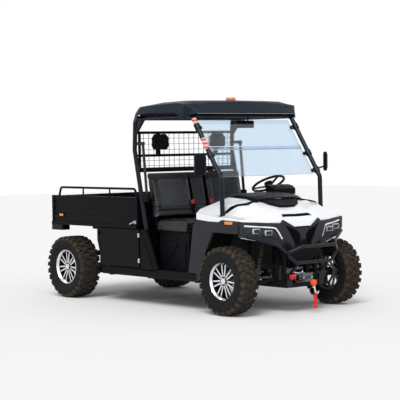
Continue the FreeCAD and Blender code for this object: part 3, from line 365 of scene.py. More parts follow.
def feed(tree, inputs, values):
    # each input gets its value, or a link from another node
    for label, value in values.items():
        if isinstance(value, bpy.types.NodeSocket):
            tree.links.new(value, inputs[label])
        else:
            inputs[label].default_value = value


def addNode(tree, kind, values=None, **settings):
    node = tree.nodes.new("ShaderNode" + kind)
    for name, value in settings.items():
        setattr(node, name, value)
    feed(tree, node.inputs, values or {})
    return node


def mathOf(tree, operation, first, second=0.0):
    return addNode(tree, "Math", {0: first, 1: second}, operation=operation).outputs[0]


def productOf(tree, first, *others):
    for other in others:
        first = mathOf(tree, "MULTIPLY", first, other)
    return first


def rangeOf(tree, value, low, high, toLow, toHigh):
    return addNode(tree, "MapRange", dict(enumerate((value, low, high, toLow, toHigh))), clamp=True).outputs[0]


def mixOf(tree, share, first, second):
    return addNode(tree, "Mix", {"Factor": share, 6: first, 7: second}, data_type="RGBA").outputs[2]


def spotOf(tree):
    return addNode(tree, "TexCoord").outputs["Object"]


def splitOf(tree, vector):
    return addNode(tree, "SeparateXYZ", {0: vector}).outputs


def noiseOf(tree, spot, scale, detail=3.0, rough=0.5):
    return addNode(tree, "TexNoise", {"Vector": spot, "Scale": scale, "Detail": detail,
                                      "Roughness": rough}).outputs["Fac"]


def bumpOf(tree, height, depth, **normal):
    return addNode(tree, "Bump", {"Strength": 1.0, "Height": height, "Distance": depth, **normal}).outputs[0]


def newMaterial(name):
    material = bpy.data.materials.new(name)
    material.use_nodes = True
    return material, material.node_tree, material.node_tree.nodes["Principled BSDF"].inputs


def buildStudio():
    world = bpy.data.worlds.new("studio")
    world.use_nodes = True
    scene.world = world
    tree = world.node_tree
    tree.nodes.clear()
    soft = addNode(tree, "Background", {"Color": (0.97, 0.98, 1.0, 1), "Strength": studio["skyLight"]}).outputs[0]
    white = addNode(tree, "Background", {"Color": (1, 1, 1, 1), "Strength": 1.0}).outputs[0]
    path = addNode(tree, "LightPath").outputs
    direct = mathOf(tree, "MAXIMUM", path["Is Camera Ray"], path["Is Transmission Ray"])
    seen = mathOf(tree, "MAXIMUM", direct, path["Is Glossy Ray"])
    mix = addNode(tree, "MixShader", {0: seen, 1: soft, 2: white}).outputs[0]
    addNode(tree, "OutputWorld", {"Surface": mix})
    addSun("keyLamp", studio["keyPower"], studio["keyAim"], studio["keySpread"])
    addSun("fillLamp", studio["fillPower"], studio["fillAim"], studio["fillSpread"])
    scene.view_settings.view_transform = "Standard"


def addFloor():
    deselectAll()
    bpy.ops.mesh.primitive_plane_add(size=studio["floorSize"], location=(0, 0, -0.002))
    floor = bpy.context.object
    bakePlace(floor)
    floor.name = "studioFloor"
    material, tree, inputs = newMaterial("paleFloor")
    feed(tree, inputs, {"Base Color": (*studio["floorTone"], 1), "Roughness": 0.9, "Specular IOR Level": 0.1})
    floor.data.materials.append(material)


buildStudio()
addFloor()
print("studio lit")


# Shared shading effects

grey = (0.5, 0.5, 0.5, 1)


def newGroup(name, inputs, outputs):
    # inputs by label with their values: a colour is a tuple
    group = bpy.data.node_groups.new(name, "ShaderNodeTree")
    for label, value in inputs.items():
        kind = "Color" if isinstance(value, tuple) else "Float"
        group.interface.new_socket(label, in_out="INPUT", socket_type="NodeSocket" + kind).default_value = value
    for label in outputs:
        kind = {"Color": "Color", "Normal": "Vector"}.get(label, "Float")
        group.interface.new_socket(label, in_out="OUTPUT", socket_type="NodeSocket" + kind)
    return group, group.nodes.new("NodeGroupInput").outputs, group.nodes.new("NodeGroupOutput").inputs


def buildMottle():
    # slow change of tone and gloss over a surface
    tree, start, end = newGroup("mottle", {"Color": grey, "Roughness": 0.5, "Amount": 0.1, "Scale": 4.0},
                                ("Color", "Roughness", "Mask"))
    spot = spotOf(tree)
    slow = noiseOf(tree, spot, start["Scale"], 4.0)
    fine = noiseOf(tree, spot, productOf(tree, start["Scale"], 9.0))
    both = mathOf(tree, "ADD", productOf(tree, slow, 0.65), productOf(tree, fine, 0.35))
    mask = rangeOf(tree, both, 0.35, 0.65, 0.0, 1.0)
    low, high = [mathOf(tree, way, 1.0, start["Amount"]) for way in ("SUBTRACT", "ADD")]
    gain = rangeOf(tree, mask, 0.0, 1.0, low, high)
    tint = addNode(tree, "VectorMath", {0: start["Color"], "Scale": gain}, operation="SCALE").outputs[0]
    swing = productOf(tree, mathOf(tree, "SUBTRACT", mask, 0.5), 0.1)
    feed(tree, end, {"Color": tint, "Roughness": mathOf(tree, "ADD", start["Roughness"], swing), "Mask": mask})
    return tree


def buildDust():
    # pale road dust that thins out with height and gathers on faces that look up
    tree, start, end = newGroup("roadDust", {"Color": grey, "Roughness": 0.5, "Dust": (0.36, 0.29, 0.21, 1),
                                             "Amount": 0.3, "Reach": 0.9}, ("Color", "Roughness", "Mask"))
    spot = spotOf(tree)
    height = rangeOf(tree, splitOf(tree, spot)["Z"], 0.1, start["Reach"], 1.0, 0.0)
    up = splitOf(tree, addNode(tree, "NewGeometry").outputs["Normal"])["Z"]
    level = rangeOf(tree, up, 0.2, 1.0, 0.35, 1.0)
    spread = rangeOf(tree, noiseOf(tree, spot, 14.0, 6.0, 0.65), 0.38, 0.66, 0.25, 1.0)
    mask = productOf(tree, height, level, productOf(tree, spread, start["Amount"]))
    rough = mathOf(tree, "ADD", start["Roughness"], productOf(tree, mask, 0.5))
    feed(tree, end, {"Color": mixOf(tree, mask, start["Color"], start["Dust"]),
                     "Roughness": mathOf(tree, "MINIMUM", rough, 0.95), "Mask": mask})
    return tree


def buildWear():
    # paler paint along the sharp edges, broken up by noise
    tree, start, end = newGroup("edgeWear", {"Color": grey, "Worn": (0.6, 0.6, 0.6, 1), "Amount": 0.3,
                                             "Radius": 0.002}, ("Color", "Mask"))
    rounded = addNode(tree, "Bevel", {"Radius": start["Radius"]}, samples=6).outputs[0]
    facing = addNode(tree, "NewGeometry").outputs["Normal"]
    match = addNode(tree, "VectorMath", {0: rounded, 1: facing}, operation="DOT_PRODUCT").outputs["Value"]
    edge = rangeOf(tree, match, 0.99, 0.8, 0.0, 1.0)
    patch = rangeOf(tree, noiseOf(tree, spotOf(tree), 30.0, 5.0), 0.42, 0.6, 0.1, 1.0)
    mask = productOf(tree, edge, start["Amount"], patch)
    feed(tree, end, {"Color": mixOf(tree, mask, start["Color"], start["Worn"]), "Mask": mask})
    return tree


def buildGrain(name, cells):
    # moulded grain or leather cells as a bump, over edges rounded in the shading
    tree, start, end = newGroup(name, {"Scale": 300.0, "Depth": 0.0002, "Radius": 0.001}, ("Normal", "Mask"))
    spot = spotOf(tree)
    if cells:
        pattern = addNode(tree, "TexVoronoi", {"Vector": spot, "Scale": start["Scale"]}, feature="DISTANCE_TO_EDGE")
        height = rangeOf(tree, pattern.outputs["Distance"], 0.0, 0.25, 0.0, 1.0)
    else:
        height = noiseOf(tree, spot, start["Scale"], 2.0)
    rounded = addNode(tree, "Bevel", {"Radius": start["Radius"]}, samples=4).outputs[0]
    feed(tree, end, {"Normal": bumpOf(tree, height, start["Depth"], Normal=rounded), "Mask": height})
    return tree


def buildWeave():
    # crossed threads, running with the width and up the other two ways
    tree, start, end = newGroup("threadWeave", {"Scale": 900.0, "Depth": 0.0003, "Radius": 0.0}, ("Normal", "Mask"))
    spot = spotOf(tree)
    split = splitOf(tree, spot)
    along = mathOf(tree, "ADD", split["X"], split["Z"])
    warp, weft = [mathOf(tree, "SINE", productOf(tree, way, start["Scale"])) for way in (split["Y"], along)]
    height = mathOf(tree, "ADD", productOf(tree, warp, weft, 0.5), 0.5)
    soft = noiseOf(tree, spot, productOf(tree, start["Scale"], 0.4))
    mask = productOf(tree, height, rangeOf(tree, soft, 0.3, 0.7, 0.6, 1.0))
    feed(tree, end, {"Normal": bumpOf(tree, mask, start["Depth"]), "Mask": mask})
    return tree


effects = {
    "mottle": buildMottle(),
    "dust": buildDust(),
    "wear": buildWear(),
    "grain": buildGrain("mouldedGrain", False),
    "leather": buildGrain("leatherGrain", True),
    "weave": buildWeave(),
}
print("shading effects built")


def addEffect(tree, effect, values):
    return addNode(tree, "Group", values, node_tree=effects[effect]).outputs


# Colours are linear. A grain is (effect, scale, depth in m, edge radius in m). What only some looks have is by name.
lookColumns = ("colour", "rough", "mottle", "scale", "dust", "grain")
lookRows = {
    "hoodWhite": ((0.86, 0.87, 0.89), 0.22, 0.02, 3.0, 0.08, ("grain", 60.0, 0.00004, 0.002),
                  {"coat": 0.7, "specular": 0.5}),
    # blue-black roof: its blue tint also paints the sky's reflection
    "roofBlackAndPaintedSkyTint": ((0.003, 0.008, 0.018), 0.42, 0.16, 3.0, 0.0, ("leather", 420.0, 0.00025, 0.003),
                  {"specular": 0.14}),
    "trimBlack": ((0.005, 0.006, 0.008), 0.38, 0.15, 5.0, 0.02, ("leather", 520.0, 0.0002, 0.002),
                  {"specular": 0.05}),
    "fasciaGrey": ((0.026, 0.027, 0.032), 0.42, 0.12, 5.0, 0.03, ("leather", 520.0, 0.0002, 0.003), {}),
    "rockerBlack": ((0.005, 0.005, 0.006), 0.45, 0.2, 5.0, 0.035, ("leather", 420.0, 0.0003, 0.003),
                    {"specular": 0.05}),
    "linerBlack": ((0.004, 0.004, 0.005), 0.7, 0.2, 6.0, 0.08, ("grain", 180.0, 0.0006, 0.002), {"specular": 0.05}),
    # blue-black cage paint: its blue tint also paints the sky's reflection
    "cagePaintAndPaintedSkyTint": ((0.003, 0.007, 0.013), 0.3, 0.12, 6.0, 0.05, ("grain", 240.0, 0.00012, 0.002),
                  {"coat": 0.1, "wear": (0.25, 0.0015, (0.10, 0.105, 0.11)), "specular": 0.16}),
    "bedPaint": ((0.0035, 0.0035, 0.005), 0.40, 0.18, 4.0, 0.01, ("grain", 260.0, 0.0002, 0.002),
                 {"coat": 0.03, "wear": (0.35, 0.0015, (0.13, 0.13, 0.13)), "specular": 0.05}),
    "doorPaint": ((0.0045, 0.004, 0.0035), 0.24, 0.15, 4.0, 0.018, ("grain", 200.0, 0.00015, 0.002),
                  {"coat": 0.06, "wear": (0.3, 0.0015, (0.13, 0.12, 0.11)), "specular": 0.05}),
    "framePaint": ((0.006, 0.006, 0.007), 0.45, 0.25, 7.0, 0.12, ("grain", 260.0, 0.0002, 0.002),
                   {"wear": (0.4, 0.0015, (0.16, 0.15, 0.14)), "specular": 0.05}),
    "screenBlack": ((0.006, 0.006, 0.007), 0.4, 0.15, 8.0, 0.0, ("grain", 300.0, 0.0001, 0.001), {"specular": 0.05}),
    "meshBlack": ((0.005, 0.005, 0.006), 0.35, 0.2, 12.0, 0.05, ("grain", 300.0, 0.0001, 0.001), {"specular": 0.05}),
    "dashBlack": ((0.010, 0.010, 0.012), 0.55, 0.12, 6.0, 0.0, ("leather", 700.0, 0.00025, 0.002), {}),
    "floorMat": ((0.025, 0.024, 0.023), 0.7, 0.2, 8.0, 0.5, ("leather", 120.0, 0.0012, 0.001), {}),
    "zincSteel": ((0.52, 0.53, 0.55), 0.34, 0.12, 20.0, 0.4, ("grain", 500.0, 0.00006, 0.0006), {"metal": 1.0}),
    "brightSteel": ((0.72, 0.73, 0.75), 0.18, 0.06, 20.0, 0.15, ("grain", 300.0, 0.00004, 0.0008), {"metal": 1.0}),
    "castAlloy": ((0.30, 0.30, 0.31), 0.55, 0.15, 12.0, 0.2, ("grain", 350.0, 0.0006, 0.003), {"metal": 0.9}),
    "rimCut": ((0.78, 0.79, 0.82), 0.20, 0.05, 14.0, 0.0, ("grain", 700.0, 0.00003, 0.0008), {"metal": 1.0}),
    "rimBlack": ((0.006, 0.006, 0.007), 0.24, 0.15, 12.0, 0.0, ("grain", 300.0, 0.0001, 0.001),
                 {"coat": 0.4, "specular": 0.35}),
    "boltBlack": ((0.020, 0.020, 0.022), 0.35, 0.2, 60.0, 0.0, ("grain", 400.0, 0.0001, 0.0006), {"metal": 0.6}),
    "softBlack": ((0.005, 0.005, 0.006), 0.24, 0.1, 8.0, 0.0, ("leather", 260.0, 0.0005, 0.0),
                  {"coat": 0.1, "specular": 0.4}),
    "seatGrey": ((0.045, 0.046, 0.052), 0.85, 0.14, 10.0, 0.0, ("weave", 1500.0, 0.0006, 0.0), {"sheen": 0.25}),
    "seatTop": ((0.022, 0.022, 0.025), 0.7, 0.14, 10.0, 0.0, ("weave", 1500.0, 0.0005, 0.0), {"sheen": 0.15}),
    "headrestCloth": ((0.006, 0.006, 0.007), 0.8, 0.14, 14.0, 0.0, ("weave", 1300.0, 0.0007, 0.0), {"sheen": 0.05}),
    "webbing": ((0.018, 0.018, 0.020), 0.62, 0.15, 20.0, 0.0, ("weave", 2400.0, 0.0005, 0.0), {"sheen": 0.1}),
    "redStrap": ((0.66, 0.03, 0.025), 0.6, 0.18, 25.0, 0.1, ("weave", 1800.0, 0.0006, 0.0), {"sheen": 0.1}),
    "redButton": ((0.80, 0.03, 0.03), 0.35, 0.08, 30.0, 0.0, ("grain", 600.0, 0.0001, 0.001), {"specular": 0.4}),
    "stopperRed": ((0.85, 0.10, 0.02), 0.5, 0.1, 25.0, 0.15, ("grain", 300.0, 0.0003, 0.002), {}),
    "amberLens": ((0.88, 0.26, 0.02), 0.16, 0.12, 40.0, 0.0, ("leather", 260.0, 0.0008, 0.001),
                  {"coat": 0.8, "specular": 0.5}),
    "beaconLens": ((0.85, 0.13, 0.02), 0.15, 0.15, 40.0, 0.0, ("leather", 180.0, 0.001, 0.001),
                   {"coat": 0.8, "specular": 0.5}),
    "tailRed": ((0.40, 0.012, 0.012), 0.15, 0.15, 40.0, 0.0, ("leather", 220.0, 0.0008, 0.001),
                {"coat": 0.8, "specular": 0.5}),
    "lampGrey": ((0.14, 0.145, 0.155), 0.3, 0.08, 30.0, 0.0, ("grain", 300.0, 0.00005, 0.001), {"metal": 0.7}),
    "stripWhite": ((0.88, 0.89, 0.91), 0.3, 0.04, 40.0, 0.0, ("grain", 400.0, 0.00008, 0.001),
                   {"coat": 0.4, "specular": 0.5}),
    "lampBlack": ((0.008, 0.008, 0.009), 0.3, 0.1, 30.0, 0.0, ("grain", 300.0, 0.00006, 0.001), {}),
    "springSteel": ((0.03, 0.03, 0.033), 0.3, 0.15, 20.0, 0.08, ("grain", 400.0, 0.0001, 0.001), {"coat": 0.3}),
    "handleGrip": ((0.018, 0.018, 0.019), 0.55, 0.1, 20.0, 0.0, ("leather", 380.0, 0.0005, 0.0), {}),
    "mirrorFace": ((0.86, 0.87, 0.88), 0.04, 0.02, 8.0, 0.0, ("grain", 20.0, 0.00001, 0.0), {"metal": 1.0}),
    "ropeFibre": ((0.22, 0.23, 0.24), 0.75, 0.25, 60.0, 0.2, ("weave", 1800.0, 0.001, 0.0), {}),
    "tyreRubber": ((0.012, 0.012, 0.013), 0.78, 0.22, 9.0, 0.0, ("grain", 160.0, 0.0005, 0.002), {}),
    # pale edges of the clear panes; the same finish also paints the highlight line under the lamps
    "paneEdgeAndPaintedHighlight": ((0.70, 0.78, 0.84), 0.3, 0.06, 20.0, 0.0, ("grain", 300.0, 0.00005, 0.001),
                 {"coat": 0.2, "specular": 0.5}),
    "hazardTape": ((0.78, 0.05, 0.05), 0.4, 0.06, 20.0, 0.0, ("grain", 300.0, 0.00005, 0.001), {}),
    "sealRubber": ((0.014, 0.014, 0.015), 0.6, 0.15, 30.0, 0.0, ("grain", 500.0, 0.0002, 0.001), {}),
    "lampCover": ((0.16, 0.17, 0.18), 0.06, 0.05, 20.0, 0.0, ("grain", 200.0, 0.00002, 0.001),
                  {"specular": 0.5, "film": 0.07}),
}
looks = {name: {**dict(zip(lookColumns, row)), **more} for name, (*row, more) in lookRows.items()}


def makeLook(name, look):
    material, tree, inputs = newMaterial(name)
    base = addEffect(tree, "mottle", {"Color": (*look["colour"], 1), "Roughness": look["rough"],
                                      "Amount": look["mottle"], "Scale": look["scale"]})
    colour, rough = base["Color"], base["Roughness"]
    if "wear" in look:
        amount, radius, worn = look["wear"]
        edge = addEffect(tree, "wear", {"Amount": amount, "Radius": radius, "Worn": (*worn, 1), "Color": colour})
        colour = edge["Color"]
    if look["dust"]:
        dusty = addEffect(tree, "dust", {"Amount": look["dust"], "Color": colour, "Roughness": rough})
        colour, rough = dusty["Color"], dusty["Roughness"]
    effect, scale, depth, radius = look["grain"]
    grain = addEffect(tree, effect, {"Scale": scale, "Depth": depth, "Radius": radius})
    # the film of the lamps' cover lets light in
    feed(tree, inputs, {"Metallic": look.get("metal", 0.0), "Coat Weight": look.get("coat", 0.0),
                        "Coat Roughness": 0.12, "Sheen Weight": look.get("sheen", 0.0),
                        "Specular IOR Level": look.get("specular", 0.12), "Alpha": look.get("film", 1.0),
                        "Base Color": colour, "Roughness": rough, "Normal": grain["Normal"]})
    return material


finishes = {name: makeLook(name, look) for name, look in looks.items()}

pane = {"tint": (0.64, 0.77, 0.90), "rough": 0.02, "smear": 0.05, "density": 1.45}


def makePane():
    # clear windscreen sheet with faint smears
    material, tree, inputs = newMaterial("pane")
    base = addEffect(tree, "mottle", {"Color": (*pane["tint"], 1), "Roughness": pane["rough"] + 0.03,
                                      "Amount": 0.02, "Scale": 5.0})
    smear = rangeOf(tree, base["Mask"], 0.0, 1.0, pane["rough"], pane["rough"] + pane["smear"])
    feed(tree, inputs, {"Transmission Weight": 1.0, "IOR": pane["density"], "Base Color": base["Color"],
                        "Roughness": smear})
    return material


finishes["pane"] = makePane()
print("finishes made:", len(finishes))


# Each rigid node as a merged skin with rounded edges: finish, material slot, edge radius in mm
skins = {
    "hood": ("hoodWhite", "white_plastic", 3.0),
    "hood_trim": ("trimBlack", "black_plastic", 2.5),
    "front_fascia": ("fasciaGrey", "dark_plastic", 2.5),
    "fenders": ("fasciaGrey", "dark_plastic", 4.0),
    "body_sides": ("rockerBlack", "black_plastic", 3.0),
    "roof": ("roofBlackAndPaintedSkyTint", "black_plastic", 5.0),
    "roll_cage": ("cagePaintAndPaintedSkyTint", "cage_steel", 0.0),
    "bull_bar": ("cagePaintAndPaintedSkyTint", "cage_steel", 0.0),
    "mirrors": ("trimBlack", "black_plastic", 7.0),
    "rear_screen": ("screenBlack", "mesh", 0.0),
    "grille": ("meshBlack", "mesh", 0.0),
    "dash": ("dashBlack", "black_plastic", 5.0),
    "floor_pan": ("floorMat", "black_plastic", 2.0),
    "seat_base": ("trimBlack", "black_plastic", 3.0),
    "storage_boxes": ("bedPaint", "black_steel", 1.0),
    "storage_door_l": ("doorPaint", "door_steel", 1.2),
    "storage_door_r": ("doorPaint", "door_steel", 1.2),
    "cargo_bed": ("bedPaint", "black_steel", 1.5),
    "tailgate": ("bedPaint", "black_steel", 1.5),
    "tail_lamps": ("lampBlack", "tail_lens", 2.0),
    "amber_lamps": ("amberLens", "amber_lens", 2.0),
    "main_frame": ("framePaint", "frame_steel", 1.5),
    "suspension_arms": ("framePaint", "frame_steel", 0.0),
    "knuckle_l": ("framePaint", "frame_steel", 0.0),
    "knuckle_r": ("framePaint", "frame_steel", 0.0),
    "drive_units": ("castAlloy", "motor_case", 4.0),
    "steering_rack": ("zincSteel", "bare_steel", 0.0),
    "steering_wheel": ("handleGrip", "black_plastic", 0.0),
    "seat_belts": ("webbing", "webbing", 0.6),
    "winch": ("framePaint", "black_steel", 1.5),
}
skin = {}
for nodeName, (look, slot, edge) in skins.items():
    skin[nodeName] = dress(nodeName, look, edge)
paintFaces(skin["amber_lamps"], "beaconLens", lambda centre, normal: centre.z > 2.0)
paintFaces(skin["fenders"], "linerBlack", lambda centre, normal: abs(centre.y) < 0.715)
paintFaces(skin["seat_belts"], "trimBlack", lambda centre, normal: centre.z < 1.0 or 1.095 < centre.z < 1.19)
paintFaces(skin["main_frame"], "cagePaintAndPaintedSkyTint", lambda centre, normal: centre.z > 0.92)
paintFaces(skin["front_fascia"], "meshBlack", lambda centre, normal: centre.z < 0.69 and abs(centre.y) < 0.34)
paintFaces(skin["winch"], "lampGrey", lambda centre, normal: centre.x > 1.585)
paintFaces(skin["tail_lamps"], "tailRed", lambda centre, normal: normal.x < -0.9 and centre.x > -1.79)
print("rigid nodes dressed:", len(skin))


# Wheels
wheels = {
    "centreX": {"f": 2627.0, "r": 0.0},
    "centreZ": 343.0,
    "hubFace": 805.0,
    "nutCircle": 39.0,
    "nutCount": 4,
    # profiles of turned parts: distance along the axis and radius, mm
    "nut": [(0, 7.2), (2, 7.2), (2.4, 6), (9, 6), (10.5, 4.8), (10.5, 2)],
    "cap": [(0, 30), (5, 31), (8, 29.5), (9.5, 26), (9.5, 19), (8.2, 17), (8.2, 3)],
    "ringPitch": 9.0,        # moulded rings of the sidewall, mm
    "treadFrom": 300.0,
    "dirt": (0.120, 0.090, 0.062),
    "dirtShare": 0.62,
    "cutFace": (0.798, 0.046),     # the spokes' faces: least |Y| and least radius, m
    "cutLip": (0.8045, 0.15),      # the outer lip
}


def wheelAxis(nodeName):
    end, side = nodeName[-2], nodeName[-1]
    return place(wheels["centreX"][end], 0, wheels["centreZ"]), sides[side]


def dirtyTyres():
    # black rubber, moulded rings on the sidewall and dry dirt between the lugs
    tree = finishes["tyreRubber"].node_tree
    inputs = tree.nodes["Principled BSDF"].inputs
    colour, normal = [inputs[label].links[0].from_socket for label in ("Base Color", "Normal")]
    radius = addNode(tree, "Attribute", attribute_name="radius", attribute_type="GEOMETRY").outputs["Fac"]
    tread = rangeOf(tree, radius, (wheels["treadFrom"] - 12) / 1000.0, 0.318, 0.0, 1.0)
    root = rangeOf(tree, radius, 0.343, 0.322, 0.35, 1.0)
    spread = rangeOf(tree, noiseOf(tree, spotOf(tree), 26.0, 6.0, 0.7), 0.36, 0.62, 0.15, 1.0)
    mask = mathOf(tree, "ADD", productOf(tree, tread, root, spread, wheels["dirtShare"]),
                  productOf(tree, spread, 0.03))
    wave = mathOf(tree, "SINE", productOf(tree, radius, 2000.0 * math.pi / wheels["ringPitch"]))
    ringed = productOf(tree, rangeOf(tree, wave, 0.2, 0.9, 0.0, 1.0), rangeOf(tree, tread, 0.0, 0.2, 1.0, 0.0))
    feed(tree, inputs, {"Base Color": mixOf(tree, mask, colour, (*wheels["dirt"], 1)),
                        "Normal": bumpOf(tree, ringed, 0.0012, Normal=normal)})


dirtyTyres()


def dressTyre(nodeName):
    centre = wheelAxis(nodeName)[0]
    tyre = shellOf(nodeName)
    reach = tyre.data.attributes.new("radius", "FLOAT", "POINT")
    for index, vertex in enumerate(tyre.data.vertices):
        reach.data[index].value = math.hypot(vertex.co.x - centre.x, vertex.co.z - centre.z)
    painted(tyre, "tyreRubber")
    finish(tyre, nodeName + "_skin", bodyOf(nodeName), 26)
    modify(tyre, "WEIGHTED_NORMAL", keep_sharp=True)
    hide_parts(nodeName)


def dressRim(nodeName):
    # black casting whose outer faces are turned bright
    centre, side = wheelAxis(nodeName)
    rim = dress(nodeName, "rimBlack")

    def isCut(spot, normal):
        reach = math.hypot(spot.x - centre.x, spot.z - centre.z)
        out = normal.y * side
        bounds = ((0.95, *wheels["cutFace"]), (0.2, *wheels["cutLip"]))
        return any(out > level and abs(spot.y) > least and reach > inner for level, least, inner in bounds)

    paintFaces(rim, "rimCut", isCut)


def addWheelCap():
    # centre cap, lug nuts and valve of the front left wheel, on its axis
    x, z = wheels["centreX"]["f"], wheels["centreZ"]
    face = wheels["hubFace"]
    parts = [painted(addRound((x, face, z), (0, 1, 0), wheels["cap"], 32), "rimCut")]
    for index in range(wheels["nutCount"]):
        turn = 2 * math.pi * (index + 0.5) / wheels["nutCount"]
        spot = (x + wheels["nutCircle"] * math.cos(turn), face, z + wheels["nutCircle"] * math.sin(turn))
        parts.append(painted(addRound(spot, (0, 1, 0), wheels["nut"], 6), "brightSteel"))
    path = [(x + 118, 795, z + 112), (x + 112, 812, z + 106), (x + 104, 820, z + 99)]
    valve = painted(addTube(path, 3.4, 10), "sealRubber")
    return joined("wheel_cap", parts + [valve])


for end in ("f", "r"):
    for side in ("l", "r"):
        dressTyre("tyre_" + end + side)
        dressRim("rim_" + end + side)
capMaster = addWheelCap()
for end in ("f", "r"):
    for side, sign in sides.items():
        shift = Matrix.Translation(((wheels["centreX"][end] - wheels["centreX"]["f"]) / 1000.0, 0, 0))
        cap = copied(capMaster, [shift if sign > 0 else mirrorY @ shift])[0]
        finish(cap, "wheel_cap_" + end + side, "wheel_" + end + side)
drop(capMaster)
print("wheels finished")


# Bench seats
seats = {
    # voxel, smoothing passes that round the foam's corners, shrink, and how far the cover may swell; m
    "pad": (0.009, 7, 0.002, 0.012),
    "restPad": (0.006, 3, 0.001, 0.006),
    "seam": (0.009, 0.007),  # depth and width, m
    "restStitch": (0.004, 0.005),
    "pressure": 4.0,
    "backSeams": (1035.0, 1330.0),     # heights of the level seams of the backs
    "panelInset": 0.088,     # side bolsters of the backs
    "cushionSplits": (-106.0, 106.0),
    "cushionRoll": 1815.0,
    "pinned": 0.012,         # height of the foot that the cloth run holds still, m
    "frames": 20,
    "backTop": 1.412,
    "corners": {True: 0.075, False: 0.03},       # radius of the backs' upper corners, by whether they are wide
    "rollBack": 0.012,       # how far the lower roll sits back
    "restHeight": 1.731,
    "restGrow": (1, 1.16, 1.06),
    "restSeam": (0.072, 0.062),
    "fill": 0.85,
}


def puffed(piece, voxel, passes, shrink, cap):
    # a foam pad: even mesh, rounded corners, then the cover blown up a little by cloth pressure
    modify(piece, "DISPLACE", strength=-shrink, mid_level=0.0)
    modify(piece, "REMESH", mode="VOXEL", voxel_size=voxel)
    modify(piece, "SMOOTH", factor=0.5, iterations=passes)
    rest = [vertex.co.copy() for vertex in piece.data.vertices]
    floor = min(spot.z for spot in rest) + seats["pinned"]
    pins = piece.vertex_groups.new(name="pins")
    pins.add([index for index, spot in enumerate(rest) if spot.z < floor], 1.0, "REPLACE")
    activate(piece)
    cloth = piece.modifiers.new("cover", "CLOTH")
    cloth.settings.use_pressure = True
    cloth.settings.uniform_pressure_force = seats["pressure"]
    cloth.settings.effector_weights.gravity = 0.0
    cloth.settings.vertex_group_mass = "pins"
    cloth.settings.quality = 4
    cloth.point_cache.frame_start = 1
    cloth.point_cache.frame_end = seats["frames"]
    for step in range(1, seats["frames"] + 1):
        scene.frame_set(step)
    bpy.ops.object.modifier_apply(modifier=cloth.name)
    scene.frame_set(1)
    for vertex, spot in zip(piece.data.vertices, rest):
        push = vertex.co - spot
        if push.length > cap:
            vertex.co = spot + push.normalized() * cap
    piece.vertex_groups.clear()
    modify(piece, "SMOOTH", factor=0.5, iterations=3)
    return piece


def pressSeams(piece, distance, depth, width):
    # sews a groove where the distance to a seam, in m, is small
    normals = [vertex.normal.copy() for vertex in piece.data.vertices]
    for vertex, normal in zip(piece.data.vertices, normals):
        away = distance(vertex.co)
        if away < width * 3:
            vertex.co -= normal * depth * math.exp(-(away / width) ** 2)


def sew(pad, look, toSeam, seam):
    pressSeams(pad, toSeam, *seam)
    modify(pad, "SUBSURF", levels=1, render_levels=1)
    painted(pad, look)


def finishPad(pad, name, nodeName):
    finish(pad, name, "chassis", 60)
    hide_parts(nodeName)


def looseParts(nodeName):
    piece = shellOf(nodeName)
    editAll(piece)
    bpy.ops.mesh.separate(type="LOOSE")
    objectMode()
    parts = list(bpy.context.selected_objects)
    return sorted(parts, key=lambda part: sum(vertex.co.y for vertex in part.data.vertices) / len(part.data.vertices))


def middleY(piece):
    reach = [vertex.co.y for vertex in piece.data.vertices]
    return (min(reach) + max(reach)) / 2, (max(reach) - min(reach)) / 2


def addBacks():
    names = ("seat_back_r", "seat_back_middle", "seat_back_l")
    levels = [height / 1000.0 for height in seats["backSeams"]]
    for name, back in zip(names, looseParts("seat_back")):
        middle, half = middleY(back)
        wide = half > 0.15
        corner = seats["corners"][wide]
        puffed(back, *seats["pad"])
        for vertex in back.data.vertices:
            over = vertex.co.z - (seats["backTop"] - corner)
            side = abs(vertex.co.y - middle) - (half - corner)
            if over > 0 and side > 0:
                reach = math.hypot(over, side)
                if reach > corner:
                    vertex.co.z -= over * (1 - corner / reach)
                    vertex.co.y -= math.copysign(side * (1 - corner / reach), vertex.co.y - middle)
            # the lower roll sits back under the panel
            if vertex.co.z < levels[0]:
                vertex.co.x -= seats["rollBack"] * min(1.0, (levels[0] - vertex.co.z) / 0.04) * (vertex.normal.x > 0)
        edge = half - seats["panelInset"] if wide else half - 0.03

        def toSeam(spot):
            upright = abs(abs(spot.y - middle) - edge) if spot.z > levels[0] else 9.0
            return min(upright, min(abs(spot.z - level) for level in levels))

        sew(back, "softBlack", toSeam, seats["seam"])
        # below the lowest seam the back keeps the black cover, which also paints the shade in the recess under the
        # panel
        paintFaces(back, "seatGrey", lambda spot, normal: levels[0] < spot.z < levels[1]
                   and abs(spot.y - middle) < edge and normal.x > 0.2)
        paintFaces(back, "seatTop", lambda spot, normal: spot.z >= levels[1])
        finishPad(back, name, "seat_back")


def addCushion():
    cushion = looseParts("seat_cushion")[0]
    puffed(cushion, *seats["pad"])
    splits = [value / 1000.0 for value in seats["cushionSplits"]]
    roll = place(seats["cushionRoll"], 0, 0).x

    def toSeam(spot):
        across = min(abs(spot.y - split) for split in splits) if spot.z > 0.80 else 9.0
        return min(across, abs(spot.x - roll) if spot.z > 0.86 else 9.0)

    sew(cushion, "softBlack", toSeam, seats["seam"])
    finishPad(cushion, "bench_cushion", "seat_cushion")


def addHeadrests():
    for name, pad in zip(("headrest_r", "headrest_l"), looseParts("headrests")):
        middle = middleY(pad)[0]
        editAll(pad)
        bpy.ops.transform.resize(value=seats["restGrow"], center_override=(0, middle, seats["restHeight"]))
        objectMode()
        puffed(pad, *seats["restPad"])

        def toSeam(spot):
            across, up = seats["restSeam"]
            reach = max(abs(spot.y - middle) / across, abs(spot.z - seats["restHeight"]) / up)
            return abs(reach - 1) * 0.06 if spot.x > -0.19 else 9.0

        sew(pad, "headrestCloth", toSeam, seats["restStitch"])
        finishPad(pad, name, "headrests")


addBacks()
addCushion()
addHeadrests()
print("seats padded")


